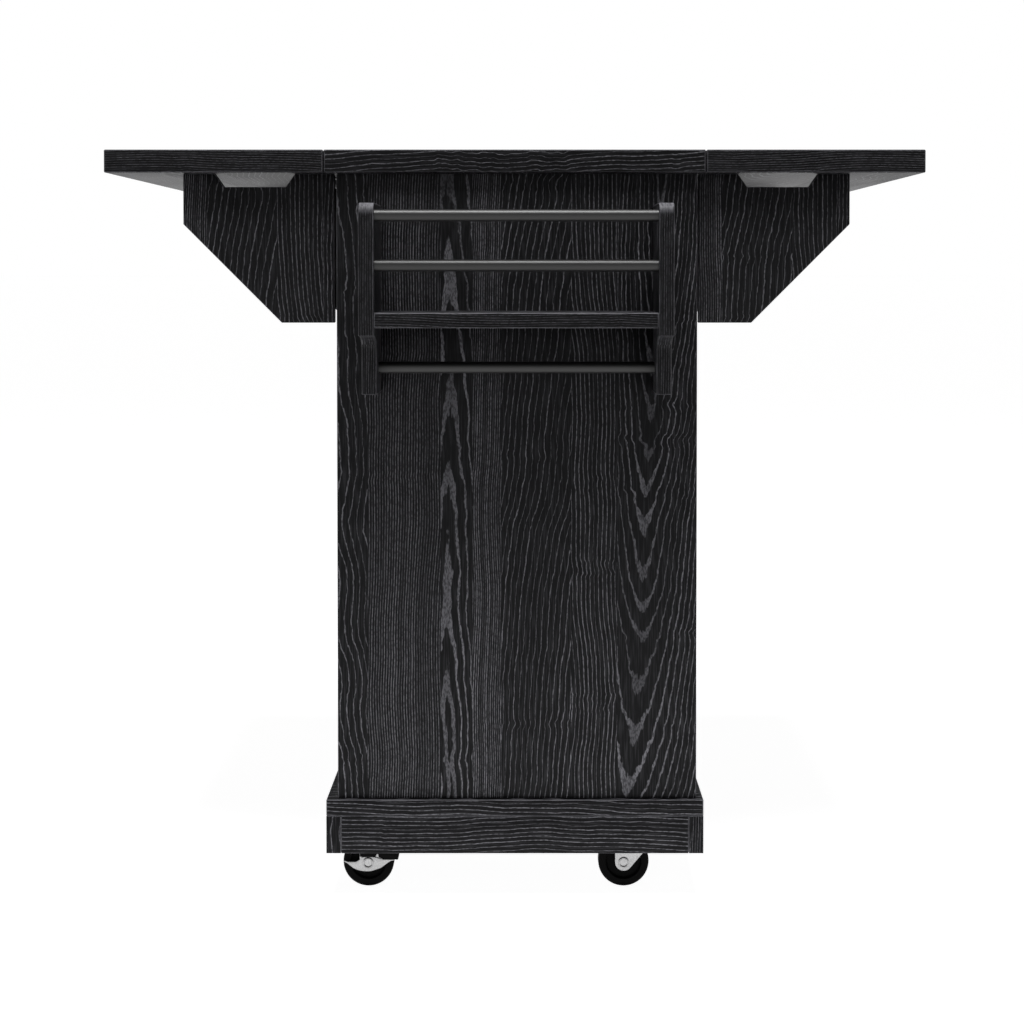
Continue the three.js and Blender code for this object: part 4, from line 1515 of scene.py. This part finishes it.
    def pedal(self, tag: str) -> None:
        """Makes the black brake body beside the wheel and the pedal that bridges it.

        Args:
            tag: The caster's side and end.
        """
        axle = middle(f"caster_wheel_{tag}")
        tread = [(36.4, 3.6), (37.6, 4.4), (38.4, 8.0), (38.4, 12.6), (37.2, 13.8)]
        body = [
            (-8.6, 13.8), (-10.4, 12.2), (-10.4, 8.0), (-9.6, 7.3), (9.2, 7.3), (9.8, 8.4), (10.6, 10.6),
            (12.4, 10.6), (13.0, 7.0), (20.0, 4.3), (33.2, 4.1),
        ]
        bm = self.cheeks(axle, [*body, *tread])
        bridge = [(33.2, 13.8), (33.2, 4.1), *tread]
        reach = self.lever_inner + self.clear
        bar = prism(self.about(axle, bridge), 1, axle.y - reach, axle.y + reach)
        round_edges(bar, self.small_round)
        add_work(bm, bar)
        self.bench.hand_over(finish_mesh(bm, f"brake_pedal_{tag}"), f"brake_lever_{tag}", Slot.PEDAL)

    def about(self, axle: Vector, outline: Outline) -> Outline:
        """Places an outline in millimetres about the axle, in X and Z."""
        return [(axle.x + x * MM, axle.z + z * MM) for x, z in outline]

    def cheeks(self, axle: Vector, outline: Outline) -> Work:
        """Mesh work of one outline twice, as plates outside both fork arms.

        Args:
            axle: The middle of the axle.
            outline: The outline about the axle in X and Z, in millimetres.

        Returns:
            The mesh work.
        """
        bm = bmesh.new()
        for out in (-1, 1):
            sides = sorted(axle.y + out * side for side in (self.lever_inner, self.lever_outer))
            cheek = prism(self.about(axle, outline), 1, *sides)
            round_edges(cheek, self.cheek_round)
            add_work(bm, cheek)
        return bm


# ---------------------------------------------------------------- studio


@dataclass(frozen=True)
class Lamp:
    """A rectangular soft light that the camera doesn't see."""

    name: str
    place: tuple[float, float, float]
    target: tuple[float, float, float]
    size: Point
    power: float  # watts
    in_gloss: bool = True

    def hang(self) -> None:
        """Hangs the lamp in its place, pointed at its target."""
        light = bpy.data.lights.new(self.name, "AREA")
        light.shape = "RECTANGLE"
        light.size, light.size_y = self.size
        light.energy = self.power
        item = bpy.data.objects.new(self.name, light)
        item.location = self.place
        aim = Vector(self.target) - Vector(self.place)
        item.rotation_euler = aim.to_track_quat("-Z", "Y").to_euler()
        item.visible_camera = False
        item.visible_glossy = self.in_gloss
        bpy.context.scene.collection.objects.link(item)


@dataclass(frozen=True)
class Studio:
    """A white floor, a pale horizon, a soft light overhead and the camera."""

    camera_place: tuple[float, float, float] = (0.0171, -2.7641, 0.7697)
    camera_pitch: float = 1.5676  # degrees down
    lens: float = 70.087
    sensor: float = 36.0
    shift: Point = (-0.0164, -0.18)
    floor_radius: float = 400.0
    floor_grey: float = 0.45
    floor_roughness: float = 0.9
    floor_gloss: float = 0.1
    floor_glow: float = 0.96
    sky_span: Point = (0.15, 0.3)  # heights between which the white horizon turns to the sky's grey
    sky_grey: float = 0.2
    sky_on_object: float = 0.20  # share of the sky's light that falls on the object
    lamps: tuple[Lamp, ...] = (
        Lamp("overhead", (0.0, -0.98, 3.6), (0.0, -0.98, 0.0), (1.3, 1.55), 118.0),
        Lamp("fill", (-1.5, -4.5, 2.6), (0.0, 0.0, 0.5), (2.5, 2.0), 7.0),
        Lamp("bounce", (0.0, -0.05, 0.003), (0.0, -0.05, 1.0), (1.5, 2.05), 14.0, in_gloss=False),
    )

    def build(self) -> None:
        """Makes the floor, the world, the lamps and the camera."""
        self.floor()
        self.world()
        for lamp in self.lamps:
            lamp.hang()
        self.camera()

    def floor(self) -> None:
        """Makes the floor, whose whiteness shows in the camera, in gloss and through glass."""
        bm = bmesh.new()
        bmesh.ops.create_circle(bm, cap_ends=True, segments=64, radius=self.floor_radius)
        item = finish_mesh(bm, "floor", smooth_under=0)
        material, wiring, shader = new_material("floor_white")
        shader.inputs["Base Color"].default_value = grey(self.floor_grey)
        shader.inputs["Roughness"].default_value = self.floor_roughness
        shader.inputs["Specular IOR Level"].default_value = self.floor_gloss
        shader.inputs["Emission Color"].default_value = grey(1.0)
        glow = wiring.times(self.seen_directly(wiring), self.floor_glow)
        wiring.feed(shader.inputs["Emission Strength"], glow)
        item.data.materials.append(material)
        item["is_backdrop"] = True

    def seen_directly(self, wiring: Wiring) -> Socket:
        """Tells rays that show the background, in the camera, in gloss or through glass, from others.

        Args:
            wiring: The material's or the world's wiring.

        Returns:
            1 for the rays that show it, 0 for those that light.
        """
        rays = wiring.add("ShaderNodeLightPath").outputs
        seen = wiring.math("MAXIMUM", rays["Is Camera Ray"], rays["Is Glossy Ray"])
        return wiring.math("MAXIMUM", seen, rays["Is Transmission Ray"])

    def world(self) -> None:
        """Makes a sky that is white at the horizon and dimmer overhead."""
        world = bpy.data.worlds.new("studio")
        world.use_nodes = True
        bpy.context.scene.world = world
        wiring = Wiring(world.node_tree)
        height = wiring.split(wiring.add("ShaderNodeTexCoord").outputs["Generated"])[2]
        shade = world.node_tree.nodes["Background"]
        colour = wiring.mix(wiring.ease(height, self.sky_span), grey(1.0), grey(self.sky_grey))
        wiring.feed(shade.inputs["Color"], colour)
        strength = wiring.math("MAXIMUM", self.seen_directly(wiring), self.sky_on_object)
        wiring.feed(shade.inputs["Strength"], strength)

    def camera(self) -> None:
        """Sets the camera up in front of the rack end."""
        data = bpy.data.cameras.new("camera")
        data.lens = self.lens
        data.sensor_width = self.sensor
        data.shift_x, data.shift_y = self.shift
        item = bpy.data.objects.new("camera", data)
        item.location = self.camera_place
        item.rotation_euler = (math.radians(90 - self.camera_pitch), 0.0, 0.0)
        bpy.context.scene.collection.objects.link(item)
        bpy.context.scene.camera = item


def main() -> None:
    """Builds the studio and the island."""
    logging.basicConfig(level=logging.INFO, format="%(name)s: %(message)s")
    bpy.ops.wm.read_factory_settings(use_empty=True)
    bench = Bench()
    bpy.context.scene.view_settings.view_transform = "Standard"
    Studio().build()
    for assembly in (Worktop, Carcass, Doors, Brackets, LeafHinges, Plinth, Rack, Casters):
        assembly(bench).build()
    bench.drive_screws()


if __name__ == "__main__":
    main()
